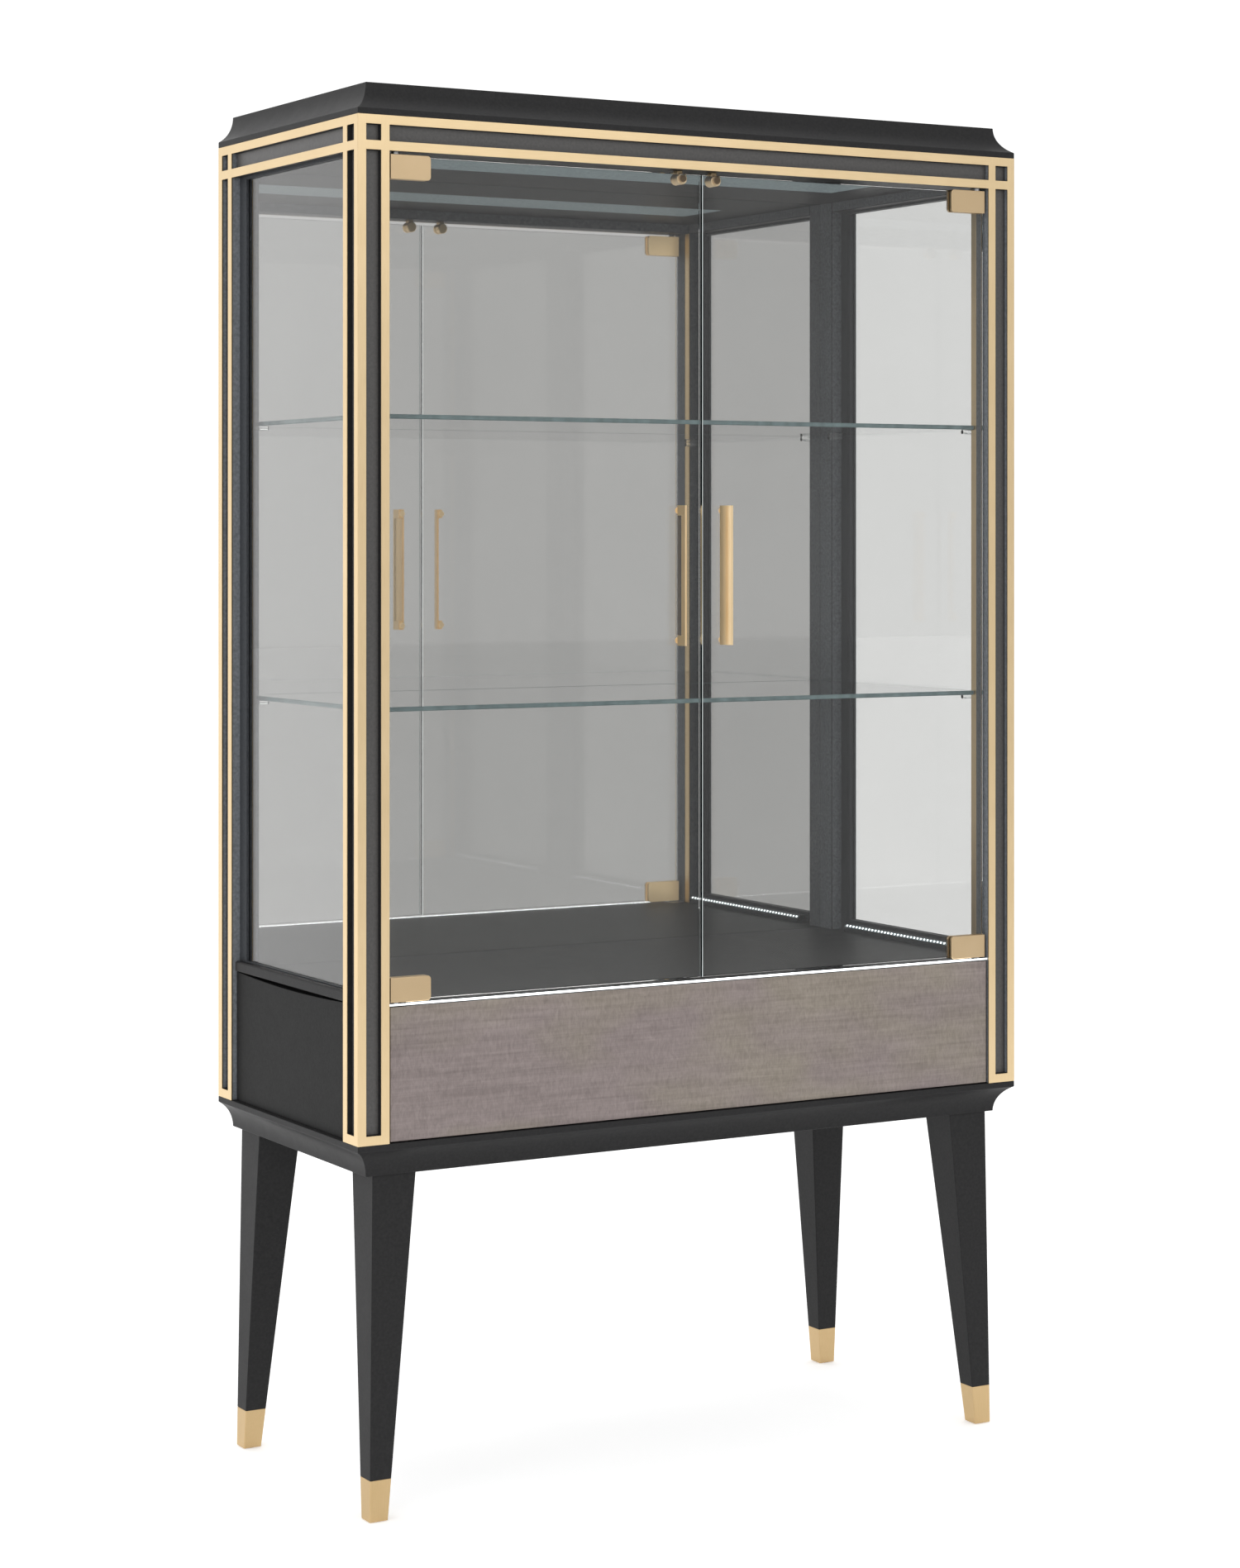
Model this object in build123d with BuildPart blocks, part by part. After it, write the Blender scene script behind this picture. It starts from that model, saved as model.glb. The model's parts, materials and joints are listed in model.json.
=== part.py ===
from build123d import *
import os

# Free-standing display cabinet: two frameless glass doors over one drawer, on four tapered legs.
# Millimetres. +X is the cabinet's right-hand side seen from the front, +Y its back, +Z up.
# The origin is on the floor, under the middle of the whole object's box.

# ---- Overall sizes ----
width = 1035.0                  # outside the brass, left to right
depth = 450.0                   # brass face to back
height = 1850.0
leg_height = 445.0              # floor to the underside of the bottom moulding
base_height = 178.0             # top of the bottom moulding to the display floor

# ---- Mouldings and boards ----
moulding_height = 44.0
moulding_band = 8.0             # upright band beside the cove
cove_inset = 21.7               # how far the cove draws in
moulding_edge_radius = 1.5
ring_width = 110.0              # width of the built-up ring behind each moulding
board_thickness = 18.0
board_rebate = 10.0             # seat of a board on its ring

# ---- Posts, top rails and brass lattice ----
post_size = 45.0
brass_width = 12.0
brass_thickness = 1.6
groove_depth = 8.0              # from the brass face to the bottom of the groove
ceiling_lift = 14.0             # ceiling above the underside of the top rails
light_panel_end_margin = 82.5   # ceiling beyond each end of the light panel
light_panel_depth = 115.0
light_panel_thickness = 6.0

# ---- Back ----
back_panel_thickness = 9.0
mirror_thickness = 5.0

# ---- Glazed sides ----
frame_thickness = 14.5
frame_recess = 13.0             # brass face to the frame's outer face
frame_stile = 22.5
frame_top_bar = 22.5
frame_bottom_bar = 16.0
frame_lip = 3.5                 # lip in front of the glass
side_glass_thickness = 5.0
glass_cover = 8.0               # glass held behind the lip
sill_height = 13.5
sill_projection = 8.5
sill_gap = 1.0                  # display floor level to the sill's underside
sill_end_gap = 4.0
sill_chamfer = 2.0
side_panel_thickness = 19.0
side_panel_recess = 8.0
side_panel_gap = 0.5            # display floor level down to the panel's top at its ends
side_panel_dip = 5.0            # further fall of the panel's top edge in the middle
floor_tongue = 6.5              # seat of the display floor in each side panel
side_light_width = 17.5
side_light_height = 11.0
side_light_front_gap = 4.0      # from the front posts
side_light_chamfer = 4.0
side_light_back_gap = 34.0      # from the back posts

# ---- Shelves ----
shelf_thickness = 6.0
shelf_rises = {"lower_shelf": 373.0, "upper_shelf": 752.0}      # display floor to the underside
shelf_setback = 22.0            # behind the closed door glass
shelf_post_gap = 1.5
shelf_side_gap = 14.0           # to the side frames
shelf_mirror_gap = 2.0
shelf_pin_radius = 3.0
shelf_pin_reach = 14.0          # under the shelf
shelf_pin_socket = 8.0          # into the frame stile

# ---- Doors ----
door_recess = 9.0               # brass face to the front of the glass
door_glass_thickness = 6.0
door_edge_gap = 3.5             # glass edge to the post
door_seam = 3.0
pivot_inset = 13.5              # pivot axis from the post
hinge_length = 58.0
hinge_height = 32.0
hinge_wall = 4.5                # metal on each side of the glass
hinge_web = 2.0                 # metal across the glass edge
hinge_corner_radius = 5.0
hinge_edge_radius = 0.8
hinge_top_gap = 3.5             # under the top rail
hinge_bottom_gap = 1.5          # over the threshold
hinge_solid_end = 22.0          # end of the hinge block that holds the pivot bore
hinge_notch_cover = 3.0         # hinge metal past the notch in the glass
pivot_radius = 3.0
pivot_clearance = 0.05
pivot_depth = 13.0              # bore in the hinge block
pivot_end_gap = 1.0             # pin's end to the bottom of its bore
pivot_socket = 10.0             # pin in the top rail
pivot_shoulder_radius = 5.0
pivot_shoulder_gap = 0.1
threshold_thickness = 2.5
threshold_inset = 10.0          # its back edge to the front posts' inner faces
threshold_recess = 4.0
pivot_plate_width = 26.0

# ---- Handles and catches ----
handle_length = 189.0
handle_rise = 547.0             # display floor to the middle of the handle
handle_depth = 20.0
handle_width = 9.0
handle_wall = 3.0
handle_block = 13.7
handle_offset = 29.0            # cabinet centre line to the handle's base
handle_screw_inset = 5.4        # from the handle's seam-side foot
handle_screw_radius = 2.0
handle_screw_head_radius = 4.5
handle_screw_head = 1.5
handle_screw_reach = 8.0        # into the handle's block
catch_offset = 27.0
catch_radius = 8.0
catch_length = 19.0
catch_neck = 8.0
catch_plate_radius = 5.5
catch_plate_thickness = 1.5
catch_gap = 0.3

# ---- Drawer ----
drawer_front_thickness = 19.0
drawer_front_recess = 3.0
drawer_gap = 1.5
drawer_side_gap = 2.5
drawer_side_thickness = 15.0
drawer_top_gap = 6.0            # under the front floor rail
drawer_box_lift = 16.0          # above the base board
drawer_back_space = 59.0        # behind the drawer box, to the back panel
drawer_bottom_thickness = 6.0
drawer_bottom_lift = 8.0
drawer_bottom_groove = 6.0
drawer_back_gap = 1.0           # drawer front's back face to the floor board and rail
runner_thickness = 12.7
runner_height = 45.0
runner_wall = 1.5
runner_setback = 10.0           # behind the drawer front
runner_lift = 30.0              # above the underside of the drawer box
runner_clearance = 0.5
slide_web = 3.0
packer_height = 60.0
floor_rail_height = 18.0
floor_rail_depth = 45.0

# ---- Legs ----
leg_top_size = 62.0
leg_foot_size = 26.0
leg_edge_radius = 1.5
leg_top_inset_side = 33.0
leg_foot_inset_side = 27.0
leg_top_inset_front = 25.0
leg_foot_inset_front = 21.0
leg_top_inset_back = 5.0
leg_foot_inset_back = 1.0
ferrule_height = 54.0
ferrule_wall = 2.0
ferrule_base = 8.0
glide_radius = 10.0
glide_thickness = 1.0
glide_stem_radius = 4.0
bolt_radius = 4.0
bolt_head_radius = 7.0
bolt_head_height = 8.0
bolt_seat_radius = 8.0
bolt_seat_depth = 10.0
bolt_reach = 50.0               # into the leg

# ---- Light driver above the ceiling ----
driver_length = 160.0
driver_depth = 60.0
driver_height = 24.0
driver_edge_radius = 3.0

# ---- Levels and planes worked out from the sizes ----
half_width = width / 2
handle_proud = handle_depth - door_recess
front = -(depth - handle_proud) / 2
back = front + depth
middle = (front + back) / 2
inner_half = half_width - post_size
front_inner = front + post_size
back_inner = back - post_size
plinth_top = leg_height + moulding_height
floor_top = plinth_top + base_height
crown_bottom = height - moulding_height
rail_bottom = crown_bottom - post_size
groove_width = post_size - 2 * brass_width
groove_low = rail_bottom + brass_width
groove_high = crown_bottom - brass_width
groove_levels = ((plinth_top + brass_width, rail_bottom), (groove_low, groove_high))
ceiling_bottom = rail_bottom + ceiling_lift
ceiling_top = ceiling_bottom + board_thickness
back_panel_front = back - back_panel_thickness
mirror_front = back_panel_front - mirror_thickness
frame_outer = half_width - frame_recess
frame_inner = frame_outer - frame_thickness
frame_top = rail_bottom + frame_top_bar - frame_lip
floor_bottom = floor_top - board_thickness
door_front = front + door_recess
door_back = door_front + door_glass_thickness
pivot_x = inner_half - pivot_inset
pivot_y = (door_front + door_back) / 2
hinge_top = rail_bottom - hinge_top_gap
hinge_bottom = floor_top + hinge_bottom_gap
door_outer = inner_half - door_edge_gap
door_top = hinge_top - hinge_web
door_bottom = hinge_bottom + hinge_web
threshold_front = front + threshold_recess
threshold_back = front_inner - threshold_inset
threshold_depth = threshold_back - threshold_front
threshold_middle = (threshold_front + threshold_back) / 2
threshold_bottom = floor_top - threshold_thickness
catch_level = door_top - catch_plate_radius
catch_front = door_back + catch_plate_thickness + catch_gap
drawer_front_face = front + drawer_front_recess
drawer_front_back = drawer_front_face + drawer_front_thickness
drawer_front_top = threshold_bottom - drawer_gap
floor_front = drawer_front_back + drawer_back_gap
drawer_box_bottom = plinth_top + drawer_box_lift
drawer_box_top = floor_bottom - floor_rail_height - drawer_top_gap
drawer_box_back = back_panel_front - drawer_back_space
drawer_box_outer = inner_half - runner_thickness - runner_clearance
drawer_box_inner = drawer_box_outer - drawer_side_thickness
drawer_bottom_level = drawer_box_bottom + drawer_bottom_lift
runner_low = drawer_box_bottom + runner_lift
side_panel_outer = half_width - side_panel_recess
side_panel_inner = side_panel_outer - side_panel_thickness
light_panel_width = 2 * (inner_half - light_panel_end_margin)
shelf_levels = {name: floor_top + rise for name, rise in shelf_rises.items()}

SIDES = {"left": -1, "right": 1}

os.makedirs("parts", exist_ok=True)


def write(piece, name):
    """Label a finished piece and write its STEP file."""
    piece.part.label = name
    export_step(piece.part, f"parts/{name}.step")


def board(x_low, x_high, y_low, y_high, z_low, z_high):
    """A plain rectangular board between two corners."""
    with BuildPart() as piece:
        with BuildSketch(Plane.XY.offset(z_low)):
            with Locations(((x_low + x_high) / 2, (y_low + y_high) / 2)):
                Rectangle(x_high - x_low, y_high - y_low)
        extrude(amount=z_high - z_low)
    return piece


# ==== Mouldings with their boards ====


def moulding(wide_level, narrow_level):
    """A ring with a band and a cove on the front and the two sides, and a flat back."""
    low = min(wide_level, narrow_level)
    high = max(wide_level, narrow_level)
    step = 1 if narrow_level > wide_level else -1
    band_level = wide_level + step * moulding_band
    narrow_half = half_width - cove_inset
    with BuildPart() as ring:
        with BuildSketch(Plane.XZ) as across:
            with BuildLine():
                Line((0, wide_level), (half_width, wide_level))
                Line((half_width, wide_level), (half_width, band_level))
                TangentArc((narrow_half, narrow_level), (half_width, band_level), tangent=(0, -step))
                Line((narrow_half, narrow_level), (0, narrow_level))
                mirror(about=Plane.YZ)
            make_face()
            shaped = across.vertices().filter_by(lambda v: abs(v.Y - wide_level) > moulding_band / 2)
            fillet(shaped.filter_by(lambda v: abs(v.X) > cove_inset), moulding_edge_radius)
        extrude(amount=depth, both=True)
        with BuildSketch(Plane.YZ) as along:
            with BuildLine():
                Polyline((back, narrow_level), (back, wide_level), (front, wide_level), (front, band_level))
                TangentArc((front + cove_inset, narrow_level), (front, band_level), tangent=(0, -step))
                Line((front + cove_inset, narrow_level), (back, narrow_level))
            make_face()
            shaped = along.vertices().filter_by(lambda v: abs(v.Y - wide_level) > moulding_band / 2)
            fillet(shaped.filter_by(lambda v: v.X < middle), moulding_edge_radius)
        extrude(amount=width, both=True, mode=Mode.INTERSECT)
        with BuildSketch(Plane.XY.offset(low)):
            with Locations((0, middle)):
                Rectangle(width - 2 * ring_width, depth - 2 * ring_width)
        extrude(amount=high - low, mode=Mode.SUBTRACT)
        with BuildSketch(Plane.XY.offset(high - board_thickness)):
            with Locations((0, middle)):
                Rectangle(width - 2 * (ring_width - board_rebate), depth - 2 * (ring_width - board_rebate))
        extrude(amount=board_thickness, mode=Mode.SUBTRACT)
    return ring


def ring_board(top):
    """The board that lies in a moulding ring's rebate."""
    half_x = half_width - ring_width + board_rebate
    half_y = depth / 2 - ring_width + board_rebate
    return board(-half_x, half_x, middle - half_y, middle + half_y, top - board_thickness, top)


def leg_size(level):
    """Width of the tapered leg at a level."""
    return leg_foot_size + (leg_top_size - leg_foot_size) * level / leg_height


def leg_centre(side, at_front, level):
    """Middle of a leg's section at a level, as (x, y)."""
    share = level / leg_height
    side_inset = leg_foot_inset_side + (leg_top_inset_side - leg_foot_inset_side) * share
    front_inset = leg_foot_inset_front + (leg_top_inset_front - leg_foot_inset_front) * share
    back_inset = leg_foot_inset_back + (leg_top_inset_back - leg_foot_inset_back) * share
    half = leg_size(level) / 2
    y = front + front_inset + half if at_front else back - back_inset - half
    return side * (half_width - side_inset - half), y


CORNERS = {
    "front_left": (-1, True),
    "front_right": (1, True),
    "back_left": (-1, False),
    "back_right": (1, False),
}

with BuildPart() as bottom_moulding:
    add(moulding(plinth_top, leg_height).part)
    for corner in CORNERS.values():
        x, y = leg_centre(*corner, leg_height)
        with Locations((x, y, plinth_top)):
            CounterBoreHole(bolt_radius, bolt_seat_radius, bolt_seat_depth, depth=moulding_height)
write(bottom_moulding, "bottom_moulding")
write(moulding(crown_bottom, height), "top_moulding")
write(ring_board(plinth_top), "base_board")
write(ring_board(height), "top_board")

# ==== Legs ====


def leg(side, at_front):
    """A tapered square leg with a tenon for its ferrule and a hole for its bolt."""
    with BuildPart() as piece:
        for level in (ferrule_height, leg_height):
            with BuildSketch(Plane.XY.offset(level)):
                with Locations(leg_centre(side, at_front, level)):
                    RectangleRounded(leg_size(level), leg_size(level), leg_edge_radius)
        loft()
        for level in (glide_thickness + ferrule_base, ferrule_height):
            with BuildSketch(Plane.XY.offset(level)):
                with Locations(leg_centre(side, at_front, level)):
                    Rectangle(leg_size(level) - 2 * ferrule_wall, leg_size(level) - 2 * ferrule_wall)
        loft()
        x, y = leg_centre(side, at_front, leg_height)
        with Locations((x, y, leg_height)):
            Hole(bolt_radius, depth=bolt_reach)
    return piece


for corner_name, corner in CORNERS.items():
    write(leg(*corner), f"{corner_name}_leg")

with BuildPart() as leg_ferrules:
    for corner in CORNERS.values():
        for level in (glide_thickness, ferrule_height):
            with BuildSketch(Plane.XY.offset(level)):
                with Locations(leg_centre(*corner, level)):
                    RectangleRounded(leg_size(level), leg_size(level), leg_edge_radius)
        loft()
        for level in (glide_thickness + ferrule_base, ferrule_height):
            with BuildSketch(Plane.XY.offset(level)):
                with Locations(leg_centre(*corner, level)):
                    Rectangle(leg_size(level) - 2 * ferrule_wall, leg_size(level) - 2 * ferrule_wall)
        loft(mode=Mode.SUBTRACT)
        with BuildSketch(Plane.XY.offset(glide_thickness)):
            with Locations(leg_centre(*corner, glide_thickness)):
                Circle(glide_stem_radius)
        extrude(amount=ferrule_base, mode=Mode.SUBTRACT)
write(leg_ferrules, "leg_ferrules")

with BuildPart() as foot_glides:
    for corner in CORNERS.values():
        with BuildSketch(Plane.XY):
            with Locations(leg_centre(*corner, glide_thickness)):
                Circle(glide_radius)
        extrude(amount=glide_thickness)
        with BuildSketch(Plane.XY.offset(glide_thickness)):
            with Locations(leg_centre(*corner, glide_thickness)):
                Circle(glide_stem_radius)
        extrude(amount=ferrule_base)
write(foot_glides, "foot_glides")

with BuildPart() as leg_bolts:
    for corner in CORNERS.values():
        seat = plinth_top - bolt_seat_depth
        with BuildSketch(Plane.XY.offset(leg_height - bolt_reach)):
            with Locations(leg_centre(*corner, leg_height)):
                Circle(bolt_radius)
        extrude(amount=seat - leg_height + bolt_reach)
        with BuildSketch(Plane.XY.offset(seat)):
            with Locations(leg_centre(*corner, leg_height)):
                RegularPolygon(bolt_head_radius, 6)
        extrude(amount=bolt_head_height)
write(leg_bolts, "leg_bolts")

# ==== Posts, top rails and brass ====


def post(side, at_front):
    """A corner post, grooved between its brass strips on each face that carries the lattice."""
    outer = half_width - brass_thickness
    near = front + brass_thickness if at_front else back_inner
    far = front_inner if at_front else back
    groove_y = front + post_size / 2 if at_front else back - post_size / 2
    with BuildPart() as piece:
        with BuildSketch(Plane.XY.offset(plinth_top)):
            with Locations((side * (inner_half + outer) / 2, (near + far) / 2)):
                Rectangle(outer - inner_half, far - near)
        extrude(amount=crown_bottom - plinth_top)
        with BuildSketch(Plane.YZ.offset(side * half_width)):
            for low, high in groove_levels:
                with Locations((groove_y, (low + high) / 2)):
                    Rectangle(groove_width, high - low)
        extrude(amount=-side * groove_depth, mode=Mode.SUBTRACT)
        if at_front:
            with BuildSketch(Plane.XZ.offset(-front)):
                for low, high in groove_levels:
                    with Locations((side * (half_width - post_size / 2), (low + high) / 2)):
                        Rectangle(groove_width, high - low)
            extrude(amount=-groove_depth, mode=Mode.SUBTRACT)
            with BuildSketch(Plane.YZ.offset(side * inner_half)):
                with Locations((front_inner - brass_width / 2, (floor_top + rail_bottom) / 2)):
                    Rectangle(brass_width, rail_bottom - floor_top)
            extrude(amount=side * brass_thickness, mode=Mode.SUBTRACT)
    return piece


for corner_name, corner in CORNERS.items():
    write(post(*corner), f"{corner_name}_post")

with BuildPart() as post_inner_strips:
    for side in SIDES.values():
        with BuildSketch(Plane.YZ.offset(side * inner_half)):
            with Locations((front_inner - brass_width / 2, (floor_top + rail_bottom) / 2)):
                Rectangle(brass_width, rail_bottom - floor_top)
        extrude(amount=side * brass_thickness)
write(post_inner_strips, "post_inner_strips")

with BuildPart() as front_top_rail:
    with BuildSketch(Plane.XZ.offset(-front_inner)):
        with Locations((0, (rail_bottom + crown_bottom) / 2)):
            Rectangle(2 * inner_half, post_size)
    extrude(amount=post_size - brass_thickness)
    with BuildSketch(Plane.XZ.offset(-front)):
        with Locations((0, (groove_low + groove_high) / 2)):
            Rectangle(2 * inner_half, groove_width)
    extrude(amount=-groove_depth, mode=Mode.SUBTRACT)
    with BuildSketch(Plane.XY.offset(rail_bottom)):
        with Locations((-pivot_x, pivot_y), (pivot_x, pivot_y)):
            Circle(pivot_radius)
    extrude(amount=pivot_socket, mode=Mode.SUBTRACT)
write(front_top_rail, "front_top_rail")


def side_top_rail(side):
    """A grooved top rail with a slot underneath for the glazed frame's top bar."""
    outer = half_width - brass_thickness
    with BuildPart() as piece:
        with BuildSketch(Plane.YZ.offset(side * inner_half)):
            with Locations((middle, (rail_bottom + crown_bottom) / 2)):
                Rectangle(depth - 2 * post_size, post_size)
        extrude(amount=side * (outer - inner_half))
        with BuildSketch(Plane.YZ.offset(side * half_width)):
            with Locations((middle, (groove_low + groove_high) / 2)):
                Rectangle(depth - 2 * post_size, groove_width)
        extrude(amount=-side * groove_depth, mode=Mode.SUBTRACT)
        with BuildSketch(Plane.YZ.offset(side * frame_inner)):
            with Locations((middle, (rail_bottom + frame_top) / 2)):
                Rectangle(depth - 2 * post_size, frame_top - rail_bottom)
        extrude(amount=side * frame_thickness, mode=Mode.SUBTRACT)
    return piece


def side_lattice(side):
    """The brass on one side: both posts' strips and the two strips of the top rail."""
    near = front + brass_thickness
    with BuildPart() as piece:
        with BuildSketch(Plane.YZ.offset(side * half_width)):
            for y_low, y_high in ((near, front_inner), (back_inner, back)):
                with Locations(((y_low + y_high) / 2, (plinth_top + crown_bottom) / 2)):
                    Rectangle(y_high - y_low, crown_bottom - plinth_top)
            with Locations(((near + back) / 2, (rail_bottom + crown_bottom) / 2)):
                Rectangle(back - near, post_size)
            for y in (front + post_size / 2, back - post_size / 2):
                for low, high in groove_levels:
                    with Locations((y, (low + high) / 2)):
                        Rectangle(groove_width, high - low, mode=Mode.SUBTRACT)
            with Locations((middle, (groove_low + groove_high) / 2)):
                Rectangle(depth - 2 * post_size, groove_width, mode=Mode.SUBTRACT)
        extrude(amount=-side * brass_thickness)
    return piece


with BuildPart() as front_lattice:
    with BuildSketch(Plane.XZ.offset(-front)):
        for side in SIDES.values():
            with Locations((side * (half_width - post_size / 2), (plinth_top + crown_bottom) / 2)):
                Rectangle(post_size, crown_bottom - plinth_top)
        with Locations((0, (rail_bottom + crown_bottom) / 2)):
            Rectangle(width, post_size)
        for side in SIDES.values():
            for low, high in groove_levels:
                with Locations((side * (half_width - post_size / 2), (low + high) / 2)):
                    Rectangle(groove_width, high - low, mode=Mode.SUBTRACT)
        with Locations((0, (groove_low + groove_high) / 2)):
            Rectangle(2 * inner_half, groove_width, mode=Mode.SUBTRACT)
    extrude(amount=-brass_thickness)
write(front_lattice, "front_brass_lattice")

for side_name, side in SIDES.items():
    write(side_top_rail(side), f"{side_name}_top_rail")
    write(side_lattice(side), f"{side_name}_brass_lattice")

back_rail_front = back_panel_front - post_size
write(
    board(-inner_half, inner_half, back_rail_front, back_panel_front, ceiling_top, crown_bottom),
    "back_top_rail",
)

# ==== Ceiling with its light ====

with BuildPart() as ceiling_board:
    with BuildSketch(Plane.XY.offset(ceiling_bottom)):
        with Locations((0, (front_inner + back_panel_front) / 2)):
            Rectangle(2 * inner_half, back_panel_front - front_inner)
    extrude(amount=board_thickness)
    with BuildSketch(Plane.XY.offset(ceiling_bottom)):
        with Locations((0, middle)):
            Rectangle(light_panel_width, light_panel_depth)
    extrude(amount=light_panel_thickness, mode=Mode.SUBTRACT)
write(ceiling_board, "ceiling_board")

with BuildPart() as ceiling_light_panel:
    with BuildSketch(Plane.XY.offset(ceiling_bottom)):
        with Locations((0, middle)):
            Rectangle(light_panel_width, light_panel_depth)
    extrude(amount=light_panel_thickness)
write(ceiling_light_panel, "ceiling_light_panel")

with BuildPart() as light_driver:
    with BuildSketch(Plane.XY.offset(ceiling_top)):
        with Locations((0, middle)):
            Rectangle(driver_length, driver_depth)
    extrude(amount=driver_height)
    fillet(light_driver.edges().filter_by(Axis.Z), driver_edge_radius)
write(light_driver, "light_driver")

# ==== Display floor, threshold and side lights ====

with BuildPart() as display_floor:
    with BuildSketch(Plane.XY.offset(floor_bottom)):
        with Locations((0, middle)):
            Rectangle(2 * (side_panel_inner + floor_tongue), depth - 2 * post_size)
        with Locations((0, (floor_front + back_panel_front) / 2)):
            Rectangle(2 * inner_half, back_panel_front - floor_front)
    extrude(amount=board_thickness)
    with BuildSketch(Plane.XY.offset(threshold_bottom)):
        with Locations((0, (floor_front + threshold_back) / 2)):
            Rectangle(2 * inner_half, threshold_back - floor_front)
    extrude(amount=threshold_thickness, mode=Mode.SUBTRACT)
write(display_floor, "display_floor")

threshold_half = inner_half - pivot_plate_width
write(
    board(-threshold_half, threshold_half, threshold_front, threshold_back, threshold_bottom, floor_top),
    "threshold_light",
)

write(
    board(-inner_half, inner_half, floor_front, floor_front + floor_rail_depth,
          floor_bottom - floor_rail_height, floor_bottom),
    "front_floor_rail",
)

side_light_back = back_inner - side_light_back_gap
side_light_front = front_inner + side_light_front_gap
with BuildPart() as side_lights:
    for side in SIDES.values():
        with BuildSketch(Plane.XZ.offset(-side_light_back)):
            with BuildLine():
                inner = frame_inner - side_light_width
                lens = floor_top + side_light_height - side_light_chamfer
                Polyline(
                    (side * inner, floor_top),
                    (side * frame_inner, floor_top),
                    (side * frame_inner, floor_top + side_light_height),
                    (side * (inner + side_light_chamfer), floor_top + side_light_height),
                    (side * inner, lens),
                    close=True,
                )
            make_face()
        extrude(amount=side_light_back - side_light_front)
write(side_lights, "side_lights")

# ==== Glazed sides and lower side panels ====

frame_middle_level = (floor_top + frame_top) / 2
opening_low = floor_top + frame_bottom_bar
opening_high = frame_top - frame_top_bar
opening_level = (opening_low + opening_high) / 2
opening_width = depth - 2 * post_size - 2 * frame_stile
opening_height = opening_high - opening_low
side_glass_outer = frame_outer - frame_lip
side_glass_inner = side_glass_outer - side_glass_thickness


def side_frame(side):
    """A four-sided frame with a lip outside and a rebate for the glass inside."""
    with BuildPart() as piece:
        with BuildSketch(Plane.YZ.offset(side * frame_inner)):
            with Locations((middle, frame_middle_level)):
                Rectangle(depth - 2 * post_size, frame_top - floor_top)
            with Locations((middle, opening_level)):
                Rectangle(opening_width, opening_height, mode=Mode.SUBTRACT)
        extrude(amount=side * frame_thickness)
        with BuildSketch(Plane.YZ.offset(side * frame_inner)):
            with Locations((middle, opening_level)):
                Rectangle(opening_width + 2 * glass_cover, opening_height + 2 * glass_cover)
        extrude(amount=side * (frame_thickness - frame_lip), mode=Mode.SUBTRACT)
        with BuildSketch(Plane.YZ.offset(side * frame_inner)):
            for level in shelf_levels.values():
                for y in pin_rows:
                    with Locations((y, level - shelf_pin_radius)):
                        Circle(shelf_pin_radius)
        extrude(amount=side * shelf_pin_socket, mode=Mode.SUBTRACT)
    return piece


pin_offset = (opening_width / 2 + glass_cover + depth / 2 - post_size) / 2
pin_rows = (middle - pin_offset, middle + pin_offset)

with BuildPart() as side_glass_panes:
    for side in SIDES.values():
        with BuildSketch(Plane.YZ.offset(side * side_glass_inner)):
            with Locations((middle, opening_level)):
                Rectangle(opening_width + 2 * glass_cover, opening_height + 2 * glass_cover)
        extrude(amount=side * side_glass_thickness)
write(side_glass_panes, "side_glass_panes")

sill_low = floor_top + sill_gap
sill_outer = frame_outer + sill_projection
sill_half = depth / 2 - post_size - sill_end_gap
with BuildPart() as side_sills:
    for side in SIDES.values():
        with BuildSketch(Plane.XZ.offset(-middle)):
            with BuildLine():
                Polyline(
                    (side * frame_outer, sill_low),
                    (side * sill_outer, sill_low),
                    (side * sill_outer, sill_low + sill_height - sill_chamfer),
                    (side * (sill_outer - sill_chamfer), sill_low + sill_height),
                    (side * frame_outer, sill_low + sill_height),
                    close=True,
                )
            make_face()
        extrude(amount=sill_half, both=True)
write(side_sills, "side_sills")

for side_name, side in SIDES.items():
    write(side_frame(side), f"{side_name}_side_frame")

    panel_top = floor_top - side_panel_gap
    with BuildPart() as side_panel:
        with BuildSketch(Plane.YZ.offset(side * side_panel_inner)):
            with BuildLine():
                Polyline(
                    (front_inner, panel_top),
                    (front_inner, plinth_top),
                    (back_inner, plinth_top),
                    (back_inner, panel_top),
                )
                ThreePointArc(
                    (front_inner, panel_top),
                    (middle, panel_top - side_panel_dip),
                    (back_inner, panel_top),
                )
            make_face()
        extrude(amount=side * side_panel_thickness)
        with BuildSketch(Plane.YZ.offset(side * side_panel_inner)):
            with Locations((middle, (floor_bottom + floor_top) / 2)):
                Rectangle(depth - 2 * post_size, board_thickness)
        extrude(amount=side * floor_tongue, mode=Mode.SUBTRACT)
    write(side_panel, f"{side_name}_side_panel")

with BuildPart() as side_glazing_beads:
    for side in SIDES.values():
        with BuildSketch(Plane.YZ.offset(side * frame_inner)):
            with Locations((middle, opening_level)):
                Rectangle(opening_width + 2 * glass_cover, opening_height + 2 * glass_cover)
                Rectangle(opening_width, opening_height, mode=Mode.SUBTRACT)
        extrude(amount=side * (side_glass_inner - frame_inner))
write(side_glazing_beads, "side_glazing_beads")

# ==== Back and shelves ====

write(board(-inner_half, inner_half, back_panel_front, back, plinth_top, crown_bottom), "back_panel")
write(
    board(-inner_half, inner_half, mirror_front, back_panel_front, floor_top, ceiling_bottom),
    "back_mirror",
)

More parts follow.
